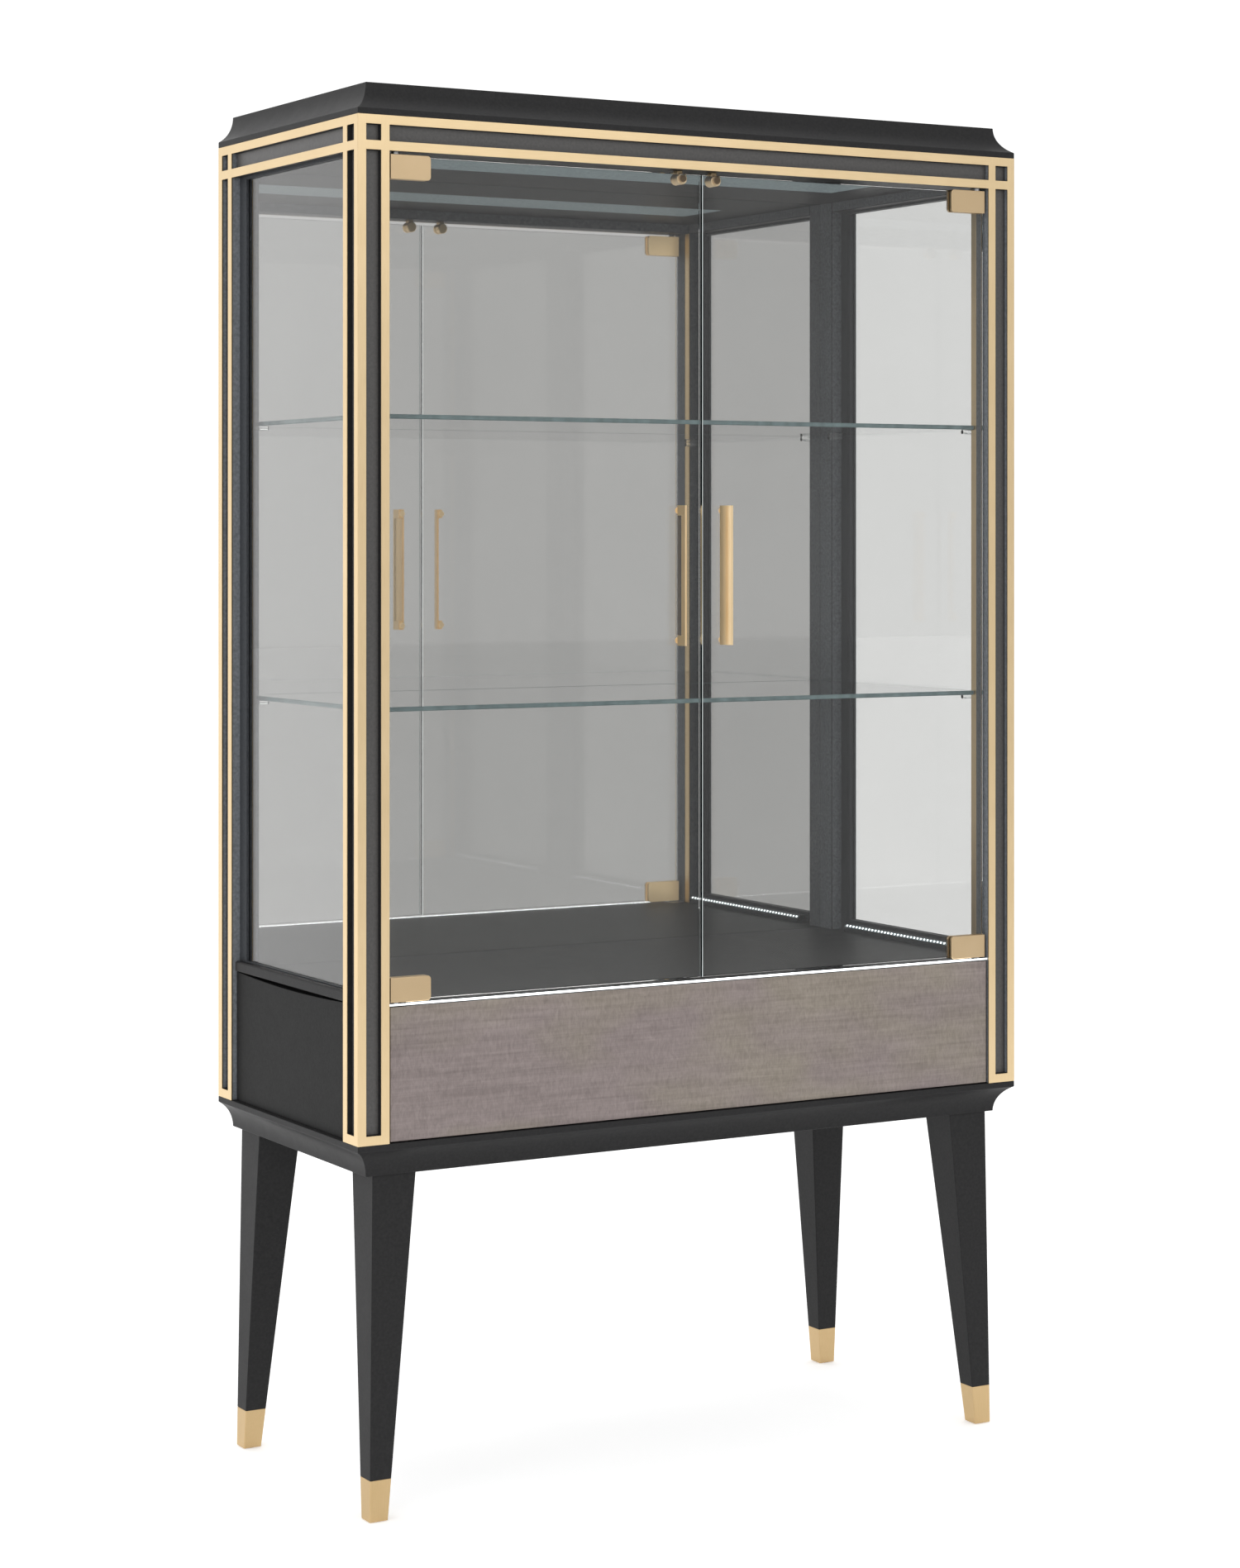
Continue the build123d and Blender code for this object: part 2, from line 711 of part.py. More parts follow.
shelf_front = door_back + shelf_setback
shelf_back = mirror_front - shelf_mirror_gap
for shelf_name, level in shelf_levels.items():
    with BuildPart() as shelf:
        with BuildSketch(Plane.XY.offset(level)):
            with Locations((0, (shelf_front + shelf_back) / 2)):
                Rectangle(2 * (inner_half - shelf_post_gap), shelf_back - shelf_front)
            with Locations((0, middle)):
                Rectangle(2 * (frame_inner - shelf_side_gap), depth - 2 * (post_size + shelf_post_gap))
        extrude(amount=shelf_thickness)
    write(shelf, shelf_name)

with BuildPart() as shelf_pins:
    for side in SIDES.values():
        with BuildSketch(Plane.YZ.offset(side * (frame_inner + shelf_pin_socket))):
            for level in shelf_levels.values():
                for y in pin_rows:
                    with Locations((y, level - shelf_pin_radius)):
                        Circle(shelf_pin_radius)
        extrude(amount=-side * (shelf_pin_socket + shelf_side_gap + shelf_pin_reach))
write(shelf_pins, "shelf_pins")

# ==== Pivots and catches on the carcass ====

pivot_engagement = pivot_depth - pivot_end_gap
with BuildPart() as pivot_pins:
    for side in SIDES.values():
        with BuildSketch(Plane.XY.offset(hinge_top - pivot_engagement)):
            with Locations((side * pivot_x, pivot_y)):
                Circle(pivot_radius)
        extrude(amount=rail_bottom + pivot_socket - hinge_top + pivot_engagement)
        with BuildSketch(Plane.XY.offset(hinge_top + pivot_shoulder_gap)):
            with Locations((side * pivot_x, pivot_y)):
                Circle(pivot_shoulder_radius)
        extrude(amount=rail_bottom - hinge_top - pivot_shoulder_gap)
        with BuildSketch(Plane.XY.offset(threshold_bottom)):
            with Locations((side * (inner_half - pivot_plate_width / 2), threshold_middle)):
                Rectangle(pivot_plate_width, threshold_depth)
        extrude(amount=threshold_thickness)
        with BuildSketch(Plane.XY.offset(floor_top)):
            with Locations((side * pivot_x, pivot_y)):
                Circle(pivot_shoulder_radius)
        extrude(amount=hinge_bottom_gap - pivot_shoulder_gap)
        with BuildSketch(Plane.XY.offset(floor_top)):
            with Locations((side * pivot_x, pivot_y)):
                Circle(pivot_radius)
        extrude(amount=hinge_bottom_gap + pivot_engagement)
write(pivot_pins, "pivot_pins")

with BuildPart() as magnetic_catches:
    for side in SIDES.values():
        with BuildSketch(Plane.XZ.offset(-catch_front)):
            with Locations((side * catch_offset, catch_level)):
                Circle(catch_radius)
        extrude(amount=-catch_length)
        with BuildSketch(Plane.XY.offset(catch_level)):
            with Locations((side * catch_offset, catch_front + catch_length / 2)):
                Rectangle(catch_neck, catch_length - catch_neck)
        extrude(amount=rail_bottom - catch_level)
write(magnetic_catches, "magnetic_catches")

# ==== Doors ====

hinge_levels = ((hinge_top - hinge_height, hinge_top), (hinge_bottom, hinge_bottom + hinge_height))
handle_low = floor_top + handle_rise - handle_length / 2
screw_levels = (handle_low + handle_block / 2, handle_low + handle_length - handle_block / 2)
screw_x = handle_offset + handle_screw_inset


def door_glass(side):
    """A glass leaf, notched at its two hinge corners and drilled for the handle screws."""
    seam = side * door_seam / 2
    outer = side * door_outer
    notch = hinge_solid_end - hinge_web
    with BuildPart() as leaf:
        with BuildSketch(Plane.XZ.offset(-door_back)):
            with Locations(((seam + outer) / 2, (door_bottom + door_top) / 2)):
                Rectangle(abs(outer - seam), door_top - door_bottom)
            notch_height = hinge_height - hinge_web - hinge_notch_cover
            for level in (door_bottom + notch_height / 2, door_top - notch_height / 2):
                with Locations((outer - side * notch / 2, level)):
                    Rectangle(notch, notch_height, mode=Mode.SUBTRACT)
            with Locations(*[(side * screw_x, level) for level in screw_levels]):
                Circle(handle_screw_radius, mode=Mode.SUBTRACT)
        extrude(amount=door_glass_thickness)
    return leaf


def door_hinges(side, leaf):
    """Two clamps round the glass, each bored for a pivot pin."""
    free_x = side * (door_outer - hinge_length)
    plane_y = door_back + hinge_wall
    block_depth = door_glass_thickness + 2 * hinge_wall
    with BuildPart() as clamps:
        with BuildSketch(Plane.XZ.offset(-plane_y)):
            for low, high in hinge_levels:
                with Locations((side * (door_outer - hinge_length / 2), (low + high) / 2)):
                    Rectangle(hinge_length, high - low)
        extrude(amount=block_depth)
        upright_edges = clamps.edges().filter_by(Axis.Y)
        fillet(upright_edges.filter_by(lambda e: abs(e.center().X - free_x) < hinge_web), hinge_corner_radius)
        fillet(clamps.faces().sort_by(Axis.Y)[:2].edges(), hinge_edge_radius)
        add(leaf.part, mode=Mode.SUBTRACT)
        with BuildSketch(Plane.XY.offset(hinge_top - pivot_depth)):
            with Locations((side * pivot_x, pivot_y)):
                Circle(pivot_radius + pivot_clearance)
        extrude(amount=pivot_depth, mode=Mode.SUBTRACT)
        with BuildSketch(Plane.XY.offset(hinge_bottom)):
            with Locations((side * pivot_x, pivot_y)):
                Circle(pivot_radius + pivot_clearance)
        extrude(amount=pivot_depth, mode=Mode.SUBTRACT)
    return clamps


def door_handle(side):
    """A quarter-round shell pull with solid ends, open on the side away from the seam."""
    open_side = side * (handle_offset + handle_width)
    with BuildPart() as pull:
        with BuildSketch(Plane.XY.offset(handle_low)):
            with Locations((open_side, door_front)):
                Ellipse(handle_width, handle_depth)
            with Locations((open_side - side * handle_width / 2, door_front - handle_depth / 2)):
                Rectangle(handle_width, handle_depth, mode=Mode.INTERSECT)
        extrude(amount=handle_length)
        with BuildSketch(Plane.XY.offset(handle_low + handle_block)):
            with Locations((open_side, door_front)):
                Ellipse(handle_width - handle_wall, handle_depth - handle_wall)
        extrude(amount=handle_length - 2 * handle_block, mode=Mode.SUBTRACT)
        with BuildSketch(Plane.XZ.offset(-door_front)):
            with Locations(*[(side * screw_x, level) for level in screw_levels]):
                Circle(handle_screw_radius)
        extrude(amount=handle_screw_reach, mode=Mode.SUBTRACT)
    return pull


def handle_screws(side):
    """Two screws through the glass, with low heads on the inside."""
    with BuildPart() as screws:
        with BuildSketch(Plane.XZ.offset(-door_back)):
            with Locations(*[(side * screw_x, level) for level in screw_levels]):
                Circle(handle_screw_radius)
        extrude(amount=door_glass_thickness + handle_screw_reach)
        with BuildSketch(Plane.XZ.offset(-door_back)):
            with Locations(*[(side * screw_x, level) for level in screw_levels]):
                Circle(handle_screw_head_radius)
        extrude(amount=-handle_screw_head)
    return screws


for side_name, side in SIDES.items():
    glass_leaf = door_glass(side)
    write(glass_leaf, f"{side_name}_door_glass")
    write(door_hinges(side, glass_leaf), f"{side_name}_door_hinges")
    write(door_handle(side), f"{side_name}_door_handle")
    write(handle_screws(side), f"{side_name}_handle_screws")
    with BuildPart() as catch_plate:
        with BuildSketch(Plane.XZ.offset(-door_back)):
            with Locations((side * catch_offset, catch_level)):
                Circle(catch_plate_radius)
        extrude(amount=-catch_plate_thickness)
    write(catch_plate, f"{side_name}_catch_plate")

# ==== Drawer ====

drawer_half = inner_half - drawer_side_gap
drawer_front_bottom = plinth_top + drawer_gap
write(
    board(-drawer_half, drawer_half, drawer_front_face, drawer_front_back,
          drawer_front_bottom, drawer_front_top),
    "drawer_front",
)

drawer_inside_front = drawer_front_back + drawer_side_thickness
drawer_inside_back = drawer_box_back - drawer_side_thickness
drawer_bottom = board(
    -drawer_box_inner - drawer_bottom_groove, drawer_box_inner + drawer_bottom_groove,
    drawer_inside_front - drawer_bottom_groove, drawer_inside_back + drawer_bottom_groove,
    drawer_bottom_level, drawer_bottom_level + drawer_bottom_thickness,
)
write(drawer_bottom, "drawer_bottom")

with BuildPart() as drawer_box:
    with BuildSketch(Plane.XY.offset(drawer_box_bottom)):
        with Locations((0, (drawer_front_back + drawer_box_back) / 2)):
            Rectangle(2 * drawer_box_outer, drawer_box_back - drawer_front_back)
            Rectangle(2 * drawer_box_inner, drawer_inside_back - drawer_inside_front, mode=Mode.SUBTRACT)
    extrude(amount=drawer_box_top - drawer_box_bottom)
    add(drawer_bottom.part, mode=Mode.SUBTRACT)
write(drawer_box, "drawer_box")

runner_length = drawer_box_back - drawer_front_back - runner_setback
slide_middle = runner_low + runner_height / 2
with BuildPart() as drawer_runners:
    for side in SIDES.values():
        with BuildSketch(Plane.XZ.offset(-drawer_box_back)):
            with Locations((side * (inner_half - runner_thickness / 2), slide_middle)):
                Rectangle(runner_thickness, runner_height)
            with Locations((side * (inner_half - runner_wall - runner_thickness / 2), slide_middle)):
                Rectangle(runner_thickness, runner_height - 2 * runner_wall, mode=Mode.SUBTRACT)
        extrude(amount=runner_length)
write(drawer_runners, "drawer_runners")

slide_half_height = runner_height / 2 - runner_wall - runner_clearance
slide_outer = inner_half - runner_wall - runner_clearance
with BuildPart() as drawer_slides:
    for side in SIDES.values():
        with BuildSketch(Plane.XZ.offset(-drawer_box_back)):
            with Locations((side * (drawer_box_outer + slide_outer) / 2, slide_middle)):
                Rectangle(slide_outer - drawer_box_outer, 2 * slide_half_height)
            with Locations((side * (drawer_box_outer + slide_web + slide_outer) / 2, slide_middle)):
                Rectangle(slide_outer - drawer_box_outer - slide_web, 2 * (slide_half_height - slide_web),
                          mode=Mode.SUBTRACT)
        extrude(amount=runner_length)
write(drawer_slides, "drawer_slides")

with BuildPart() as runner_packers:
    for side in SIDES.values():
        with BuildSketch(Plane.XZ.offset(-drawer_box_back)):
            with Locations((side * (inner_half + side_panel_inner) / 2, slide_middle)):
                Rectangle(side_panel_inner - inner_half, packer_height)
        extrude(amount=drawer_box_back - front_inner)
write(runner_packers, "runner_packers")
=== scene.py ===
"""Finished surfaces, lighting and camera for a free-standing display cabinet.

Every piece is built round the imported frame, in metres, and rides on the body that carries its CAD node.
"""

import json
import logging
import math
from collections.abc import Callable, Sequence
from dataclasses import dataclass
from enum import Enum

import bmesh
import bpy
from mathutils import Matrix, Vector

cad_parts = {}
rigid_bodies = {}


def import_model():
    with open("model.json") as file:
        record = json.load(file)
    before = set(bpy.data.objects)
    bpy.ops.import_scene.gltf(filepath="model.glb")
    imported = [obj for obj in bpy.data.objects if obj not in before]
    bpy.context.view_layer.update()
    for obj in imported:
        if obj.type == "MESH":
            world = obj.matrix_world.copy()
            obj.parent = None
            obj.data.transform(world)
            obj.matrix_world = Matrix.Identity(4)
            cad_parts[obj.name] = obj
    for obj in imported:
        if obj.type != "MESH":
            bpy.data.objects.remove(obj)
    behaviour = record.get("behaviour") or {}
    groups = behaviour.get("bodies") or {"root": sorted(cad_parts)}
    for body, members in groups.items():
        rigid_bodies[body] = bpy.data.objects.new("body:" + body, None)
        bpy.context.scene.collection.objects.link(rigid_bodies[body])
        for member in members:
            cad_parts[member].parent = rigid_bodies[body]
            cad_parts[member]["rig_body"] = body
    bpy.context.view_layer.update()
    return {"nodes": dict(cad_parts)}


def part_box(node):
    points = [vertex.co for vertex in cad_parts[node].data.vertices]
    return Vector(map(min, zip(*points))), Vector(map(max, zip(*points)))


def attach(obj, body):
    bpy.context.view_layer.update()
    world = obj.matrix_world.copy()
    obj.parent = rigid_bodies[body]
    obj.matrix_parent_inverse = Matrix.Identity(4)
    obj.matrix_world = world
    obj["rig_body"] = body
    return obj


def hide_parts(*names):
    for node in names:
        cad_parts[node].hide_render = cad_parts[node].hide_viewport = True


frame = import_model()

log = logging.getLogger("cabinet")

Colour = tuple[float, float, float]
Place = tuple[float, float, float]
Loop = list[Vector]
Socket = bpy.types.NodeSocket
Feed = Socket | float | Colour
FaceTest = Callable[[bmesh.types.BMFace], bool]
MILLIMETRE = 0.001
SIDES: dict[str, int] = {"left": -1, "right": 1}
CORNERS = ("front_left", "front_right", "back_left", "back_right")
WELD = 0.004 * MILLIMETRE  # a CAD node's vertices nearer than this are one
FLAT = math.radians(0.4)  # faces of a CAD node that turn by less than this are one
LONG_EDGE = 0.02  # the rims of notches and screw holes in glass are shorter and stay sharp
SQUARE_ON = 0.99  # a face's normal along an axis: above it the face is square to that axis
WIDE_FACE = 0.9  # above it the face is one that the axis goes through
SLANTED_FACE = 0.5  # between this and the last the face is a chamfer or an arris


class Axis(Enum):
    """A direction of the cabinet's own frame."""

    X = 0
    Y = 1
    Z = 2


class Grain(Enum):
    """How a brushed or figured surface is stretched: the pattern's scale along X, Y and Z."""

    UPRIGHT = (1.0, 1.0, 0.02)
    ACROSS = (0.02, 0.02, 1.0)
    EVEN = (1.0, 1.0, 1.0)


# ---- Materials ----


class Graph:
    """A material's node tree, with short ways to add the few node patterns used here."""

    def __init__(self, name: str) -> None:
        """Start a material with one Principled shader.

        Args:
            name: The material's name.
        """
        self.material = bpy.data.materials.new(name)
        self.material.use_nodes = True
        self.tree = self.material.node_tree
        self.tree.nodes.clear()
        self.output = self.tree.nodes.new("ShaderNodeOutputMaterial")
        self.shader = self.tree.nodes.new("ShaderNodeBsdfPrincipled")
        self.tree.links.new(self.shader.outputs[0], self.output.inputs["Surface"])
        self.place = self.tree.nodes.new("ShaderNodeTexCoord").outputs["Object"]

    def value(self, **sockets: float) -> None:
        """Set numbers on the shader's own sockets; an underscore in a name stands for a space."""
        for name, number in sockets.items():
            self.shader.inputs[name.replace("_", " ")].default_value = number

    def feed(self, socket: str, source: Socket) -> None:
        """Link a node's output to one of the shader's sockets."""
        self.tree.links.new(source, self.shader.inputs[socket])

    def stretched(self, stretch: Sequence[float]) -> Socket:
        """The piece's own coordinates, scaled.

        Args:
            stretch: The factors along X, Y and Z.

        Returns:
            The scaled coordinates.
        """
        scaled = self.tree.nodes.new("ShaderNodeMapping")
        scaled.inputs["Scale"].default_value = tuple(stretch)
        self.tree.links.new(self.place, scaled.inputs["Vector"])
        return scaled.outputs["Vector"]

    def noise(
        self, scale: float, detail: float = 3.0, stretch: Sequence[float] = Grain.EVEN.value,
        warp: float = 0.0,
    ) -> Socket:
        """A noise pattern.

        Args:
            scale: Repeats in a metre.
            detail: Octaves of finer noise.
            stretch: Scale along X, Y and Z.
            warp: Distortion of the pattern.

        Returns:
            The noise from 0 to 1.
        """
        made = self.tree.nodes.new("ShaderNodeTexNoise")
        made.inputs["Scale"].default_value = scale
        made.inputs["Detail"].default_value = detail
        made.inputs["Distortion"].default_value = warp
        self.tree.links.new(self.stretched(stretch), made.inputs["Vector"])
        return made.outputs["Fac"]

    def remap(
        self, source: Socket, low: float, high: float, start: float = 0.3, end: float = 0.7
    ) -> Socket:
        """A pattern's range turned into another range.

        Args:
            source: The pattern.
            low: Result at the start of its range.
            high: Result at the end of its range.
            start: Where its range starts.
            end: Where its range ends.

        Returns:
            The pattern in its new range.
        """
        made = self.tree.nodes.new("ShaderNodeMapRange")
        for name, number in (("From Min", start), ("From Max", end), ("To Min", low), ("To Max", high)):
            made.inputs[name].default_value = number
        self.tree.links.new(source, made.inputs["Value"])
        return made.outputs["Result"]

    def put(self, socket: Socket, value: Feed) -> None:
        """Link a node's output to a socket, or set a number or a colour on it.

        Args:
            socket: The socket to fill.
            value: The node's output, the number or the colour.
        """
        if isinstance(value, Socket):
            self.tree.links.new(value, socket)
        else:
            socket.default_value = value if isinstance(value, float) else (*value, 1.0)

    def maths(self, kind: str, first: Feed, second: Feed) -> Socket:
        """Two values put through one Math node.

        Args:
            kind: The node's operation.
            first: A node's output, or a number.
            second: A node's output, or a number.

        Returns:
            The result.
        """
        made = self.tree.nodes.new("ShaderNodeMath")
        made.operation = kind
        self.put(made.inputs[0], first)
        self.put(made.inputs[1], second)
        return made.outputs[0]

    def add_up(self, *patterns: tuple[Socket, float]) -> Socket:
        """Patterns added together.

        Args:
            patterns: Each pattern with its share.

        Returns:
            The sum.
        """
        total = None
        for pattern, share in patterns:
            scaled = self.maths("MULTIPLY", pattern, share)
            total = scaled if total is None else self.maths("ADD", total, scaled)
        return total

    def blend(self, share: Socket, first: Feed, second: Feed) -> Socket:
        """A colour between two colours.

        Args:
            share: The second colour's share.
            first: A colour, or a node's output.
            second: A colour, or a node's output.

        Returns:
            The mixed colour.
        """
        made = self.tree.nodes.new("ShaderNodeMix")
        made.data_type = "RGBA"
        for socket, value in zip((made.inputs[0], made.inputs[6], made.inputs[7]), (share, first, second)):
            self.put(socket, value)
        return made.outputs[2]

    def bump(self, height: Socket, strength: float, depth: float) -> None:
        """Raise the surface by a pattern.

        Args:
            height: The pattern.
            strength: Share of the full effect.
            depth: Height of the pattern in metres.
        """
        made = self.tree.nodes.new("ShaderNodeBump")
        made.inputs["Strength"].default_value = strength
        made.inputs["Distance"].default_value = depth
        self.tree.links.new(height, made.inputs["Height"])
        self.tree.links.new(made.outputs["Normal"], self.shader.inputs["Normal"])

    def glow(self, colour: Socket, strength: float) -> None:
        """Let the surface glow in its own colour.

        Args:
            colour: The colour.
            strength: Strength of the glow; 0 leaves the surface dark.
        """
        self.value(Emission_Strength=strength)
        if strength:
            self.feed("Emission Color", colour)

    def let_lamps_through(self, tint: Colour) -> None:
        """Let rays from lamps pass the glass, tinted.

        Args:
            tint: The colour they take on.
        """
        path = self.tree.nodes.new("ShaderNodeLightPath")
        clear = self.tree.nodes.new("ShaderNodeBsdfTransparent")
        clear.inputs["Color"].default_value = (*tint, 1.0)
        mixed = self.tree.nodes.new("ShaderNodeMixShader")
        self.tree.links.new(path.outputs["Is Shadow Ray"], mixed.inputs[0])
        self.tree.links.new(self.shader.outputs[0], mixed.inputs[1])
        self.tree.links.new(clear.outputs[0], mixed.inputs[2])
        self.tree.links.new(mixed.outputs[0], self.output.inputs["Surface"])


@dataclass(frozen=True)
class Finish:
    """A finish: its name, and the record's material slot that it stands for."""

    name: str = "finish"
    slot: str = ""

    def dress(self, graph: Graph) -> None:
        """Add the finish's nodes to a new material."""
        raise NotImplementedError

    def material(self) -> bpy.types.Material:
        """The finish as a material, made on first use.

        Returns:
            The material.
        """
        made = bpy.data.materials.get(self.name)
        if made is None:
            graph = Graph(self.name)
            self.dress(graph)
            made = graph.material
        return made


@dataclass(frozen=True)
class BlackLacquer(Finish):
    """Sprayed satin lacquer over a fine open grain."""

    name: str = "satin black lacquer"
    slot: str = "black_lacquer"
    deep: Colour = (0.0205, 0.0205, 0.0210)
    pale: Colour = (0.0275, 0.0270, 0.0275)
    sheen: float = 0.42
    sheen_drift: float = 0.02
    gloss: float = 0.095

    def dress(self, graph: Graph) -> None:
        """Cloudy black with a fine peel."""
        grain = graph.noise(260.0, 4.0)
        peel = graph.noise(700.0, 2.0)
        graph.feed("Base Color", graph.blend(graph.remap(grain, 0.0, 1.0), self.deep, self.pale))
        smoothest, roughest = self.sheen - self.sheen_drift, self.sheen + self.sheen_drift
        graph.feed("Roughness", graph.remap(graph.noise(40.0, 3.0), smoothest, roughest))
        graph.value(Specular_IOR_Level=self.gloss)
        graph.bump(peel, 0.06, 0.06 * MILLIMETRE)


@dataclass(frozen=True)
class BrushedBrass(Finish):
    """Satin brass, brushed along its length."""

    name: str = "brushed brass"
    slot: str = "brushed_brass"
    grain: Grain = Grain.UPRIGHT
    warm: Colour = (0.77, 0.590, 0.345)
    bright: Colour = (0.84, 0.655, 0.400)
    glow: float = 0.0

    def dress(self, graph: Graph) -> None:
        """Metal with hairlines and a slight drift of tone."""
        hairs = graph.noise(2200.0, 3.0, self.grain.value)
        drift = graph.noise(14.0, 3.0)
        tone = graph.add_up((hairs, 0.6), (drift, 0.4))
        colour = graph.blend(graph.remap(tone, 0.0, 1.0, 0.35, 0.65), self.warm, self.bright)
        graph.feed("Base Color", colour)
        graph.feed("Roughness", graph.remap(hairs, 0.33, 0.43))
        graph.value(Metallic=1.0)
        # A glow above 0 is painted light: brass is no lamp.
        graph.glow(colour, self.glow)
        graph.bump(hairs, 0.10, 0.05 * MILLIMETRE)


@dataclass(frozen=True)
class ClearGlass(Finish):
    """Clear plate glass with a trace of grey-green."""

    name: str = "clear plate glass"
    slot: str = "clear_glass"
    tint: Colour = (0.812, 0.815, 0.808)
    drift: float = 0.985
    ior: float = 1.47

    def dress(self, graph: Graph) -> None:
        """Smooth glass that lamps shine through, with faint drifts of tone."""
        haze = graph.noise(5.0, 2.0)
        deeper = tuple(self.drift * part for part in self.tint)
        graph.feed("Base Color", graph.blend(graph.remap(haze, 0.0, 1.0), self.tint, deeper))
        graph.value(Transmission_Weight=1.0, Roughness=0.0, IOR=self.ior)
        graph.let_lamps_through(self.tint)


@dataclass(frozen=True)
class GlassEdge(Finish):
    """The ground and polished edge of a glass pane."""

    name: str = "polished glass edge"
    slot: str = "clear_glass"
    deep: Colour = (0.15, 0.225, 0.235)
    pale: Colour = (0.25, 0.355, 0.365)
    glow: float = 0.0

    def dress(self, graph: Graph) -> None:
        """Sea-green edge with long soft streaks."""
        streak = graph.noise(60.0, 3.0, (1.0, 1.0, 0.2))
        colour = graph.blend(graph.remap(streak, 0.0, 1.0), self.deep, self.pale)
        graph.feed("Base Color", colour)
        graph.value(Roughness=0.12)
        # A glow above 0 paints a highlight on the edge: glass is no lamp.
        graph.glow(colour, self.glow)


@dataclass(frozen=True)
class MirrorGlass(Finish):
    """Silvered glass with a grey cast."""

    name: str = "silvered mirror"
    slot: str = "mirror_glass"
    silver: Colour = (0.84, 0.835, 0.825)
    drift: float = 0.97

    def dress(self, graph: Graph) -> None:
        """A mirror with barely seen waves."""
        cloud = graph.noise(3.0, 2.0)
        dimmer = tuple(self.drift * part for part in self.silver)
        graph.feed("Base Color", graph.blend(graph.remap(cloud, 0.0, 1.0), self.silver, dimmer))
        graph.value(Metallic=1.0, Roughness=0.02)


@dataclass(frozen=True)
class GreyVeneer(Finish):
    """Grey-stained sycamore veneer, laid flat, with a fiddleback figure."""

    name: str = "grey fiddleback veneer"
    slot: str = "grey_veneer"
    mauve: tuple[Colour, Colour] = ((0.170, 0.139, 0.133), (0.295, 0.247, 0.238))
    olive: tuple[Colour, Colour] = ((0.176, 0.150, 0.122), (0.305, 0.266, 0.226))

    def dress(self, graph: Graph) -> None:
        """Short upright flecks in rows over long faint grain, in leaves of two warm greys."""
        fibre = graph.noise(700.0, 3.0, (0.03, 1.0, 1.0), 0.3)
        growth = graph.noise(170.0, 4.0, (0.045, 1.0, 1.0), 0.5)
        flecks = graph.noise(240.0, 2.0, (1.0, 1.0, 0.36), 1.2)
        rows = graph.noise(80.0, 3.0, (0.35, 1.0, 1.0), 0.4)
        cloud = graph.noise(5.0, 4.0, (0.6, 1.0, 1.6), 0.4)
        tone = graph.add_up((flecks, 0.32), (rows, 0.16), (fibre, 0.12), (growth, 0.28), (cloud, 0.12))
        share = graph.remap(tone, 0.0, 1.0, 0.35, 0.65)
        leaf = graph.remap(graph.noise(6.0, 2.0, (0.8, 1.0, 1.4)), 0.0, 1.0, 0.42, 0.60)
        mauve, olive = graph.blend(share, *self.mauve), graph.blend(share, *self.olive)
        graph.feed("Base Color", graph.blend(leaf, mauve, olive))
        graph.feed("Roughness", graph.remap(flecks, 0.44, 0.56))
        graph.value(Specular_IOR_Level=0.3)
        graph.bump(graph.maths("ADD", fibre, flecks), 0.25, 0.12 * MILLIMETRE)


@dataclass(frozen=True)
class LightDiffuser(Finish):
    """Opal acrylic in front of a lamp."""

    name: str = "opal diffuser"
    slot: str = "light_diffuser"
    deep: Colour = (0.15, 0.20, 0.215)
    pale: Colour = (0.29, 0.36, 0.375)
    # On the ceiling panel, whose lamp is off, the glow is painted light lifting it out of shade; on the
    # strip lights' chamfers it is their lamps' own light.
    glow: float = 0.32

    def dress(self, graph: Graph) -> None:
        """Finely frosted and speckled."""
        speckle = graph.noise(300.0, 3.0)
        colour = graph.blend(graph.remap(speckle, 0.0, 1.0, 0.35, 0.65), self.deep, self.pale)
        graph.feed("Base Color", colour)
        graph.glow(colour, self.glow)
        graph.feed("Roughness", graph.remap(speckle, 0.45, 0.65))
        graph.bump(speckle, 0.2, 0.2 * MILLIMETRE)


@dataclass(frozen=True)
class LampGlow(Finish):
    """A lit strip, white with a trace of blue."""

    name: str = "lit strip"
    slot: str = "light_diffuser"
    dim: Colour = (0.80, 0.86, 0.88)
    bright: Colour = (0.95, 0.98, 1.0)
    glow: float = 1.1

    def dress(self, graph: Graph) -> None:
        """Lit acrylic, a little brighter over each lamp."""
        beads = graph.noise(120.0, 1.0)
        colour = graph.blend(graph.remap(beads, 0.0, 1.0), self.dim, self.bright)
        graph.feed("Base Color", colour)
        graph.glow(colour, self.glow)
        graph.value(Roughness=0.4)


@dataclass(frozen=True)
class DrawerTimber(Finish):
    """Oiled pale timber inside the drawer."""

    name: str = "oiled drawer timber"
    slot: str = "drawer_timber"
    dark: Colour = (0.36, 0.24, 0.14)
    light: Colour = (0.56, 0.42, 0.28)

    def dress(self, graph: Graph) -> None:
        """Straight grain with darker growth lines."""
        growth = graph.noise(55.0, 5.0, (0.06, 0.12, 1.0), 0.8)
        fibre = graph.noise(600.0, 3.0, (0.05, 0.08, 1.0))
        tone = graph.add_up((growth, 0.7), (fibre, 0.3))
        graph.feed("Base Color", graph.blend(graph.remap(tone, 0.0, 1.0, 0.35, 0.65), self.dark, self.light))
        graph.feed("Roughness", graph.remap(fibre, 0.42, 0.58))
        graph.bump(fibre, 0.15, 0.15 * MILLIMETRE)


@dataclass(frozen=True)
class Metal(Finish):
    """Plated steel."""

    name: str = "zinc-plated steel"
    slot: str = "steel_hardware"
    dull: Colour = (0.42, 0.43, 0.44)
    clean: Colour = (0.62, 0.63, 0.64)

    def dress(self, graph: Graph) -> None:
        """Cloudy plating with fine scratches."""
        cloud = graph.noise(90.0, 4.0)
        scratch = graph.noise(900.0, 2.0, (0.1, 1.0, 1.0))
        graph.feed("Base Color", graph.blend(graph.remap(cloud, 0.0, 1.0), self.dull, self.clean))
        graph.feed("Roughness", graph.remap(scratch, 0.28, 0.42))
        graph.value(Metallic=1.0)
        graph.bump(scratch, 0.1, 0.05 * MILLIMETRE)


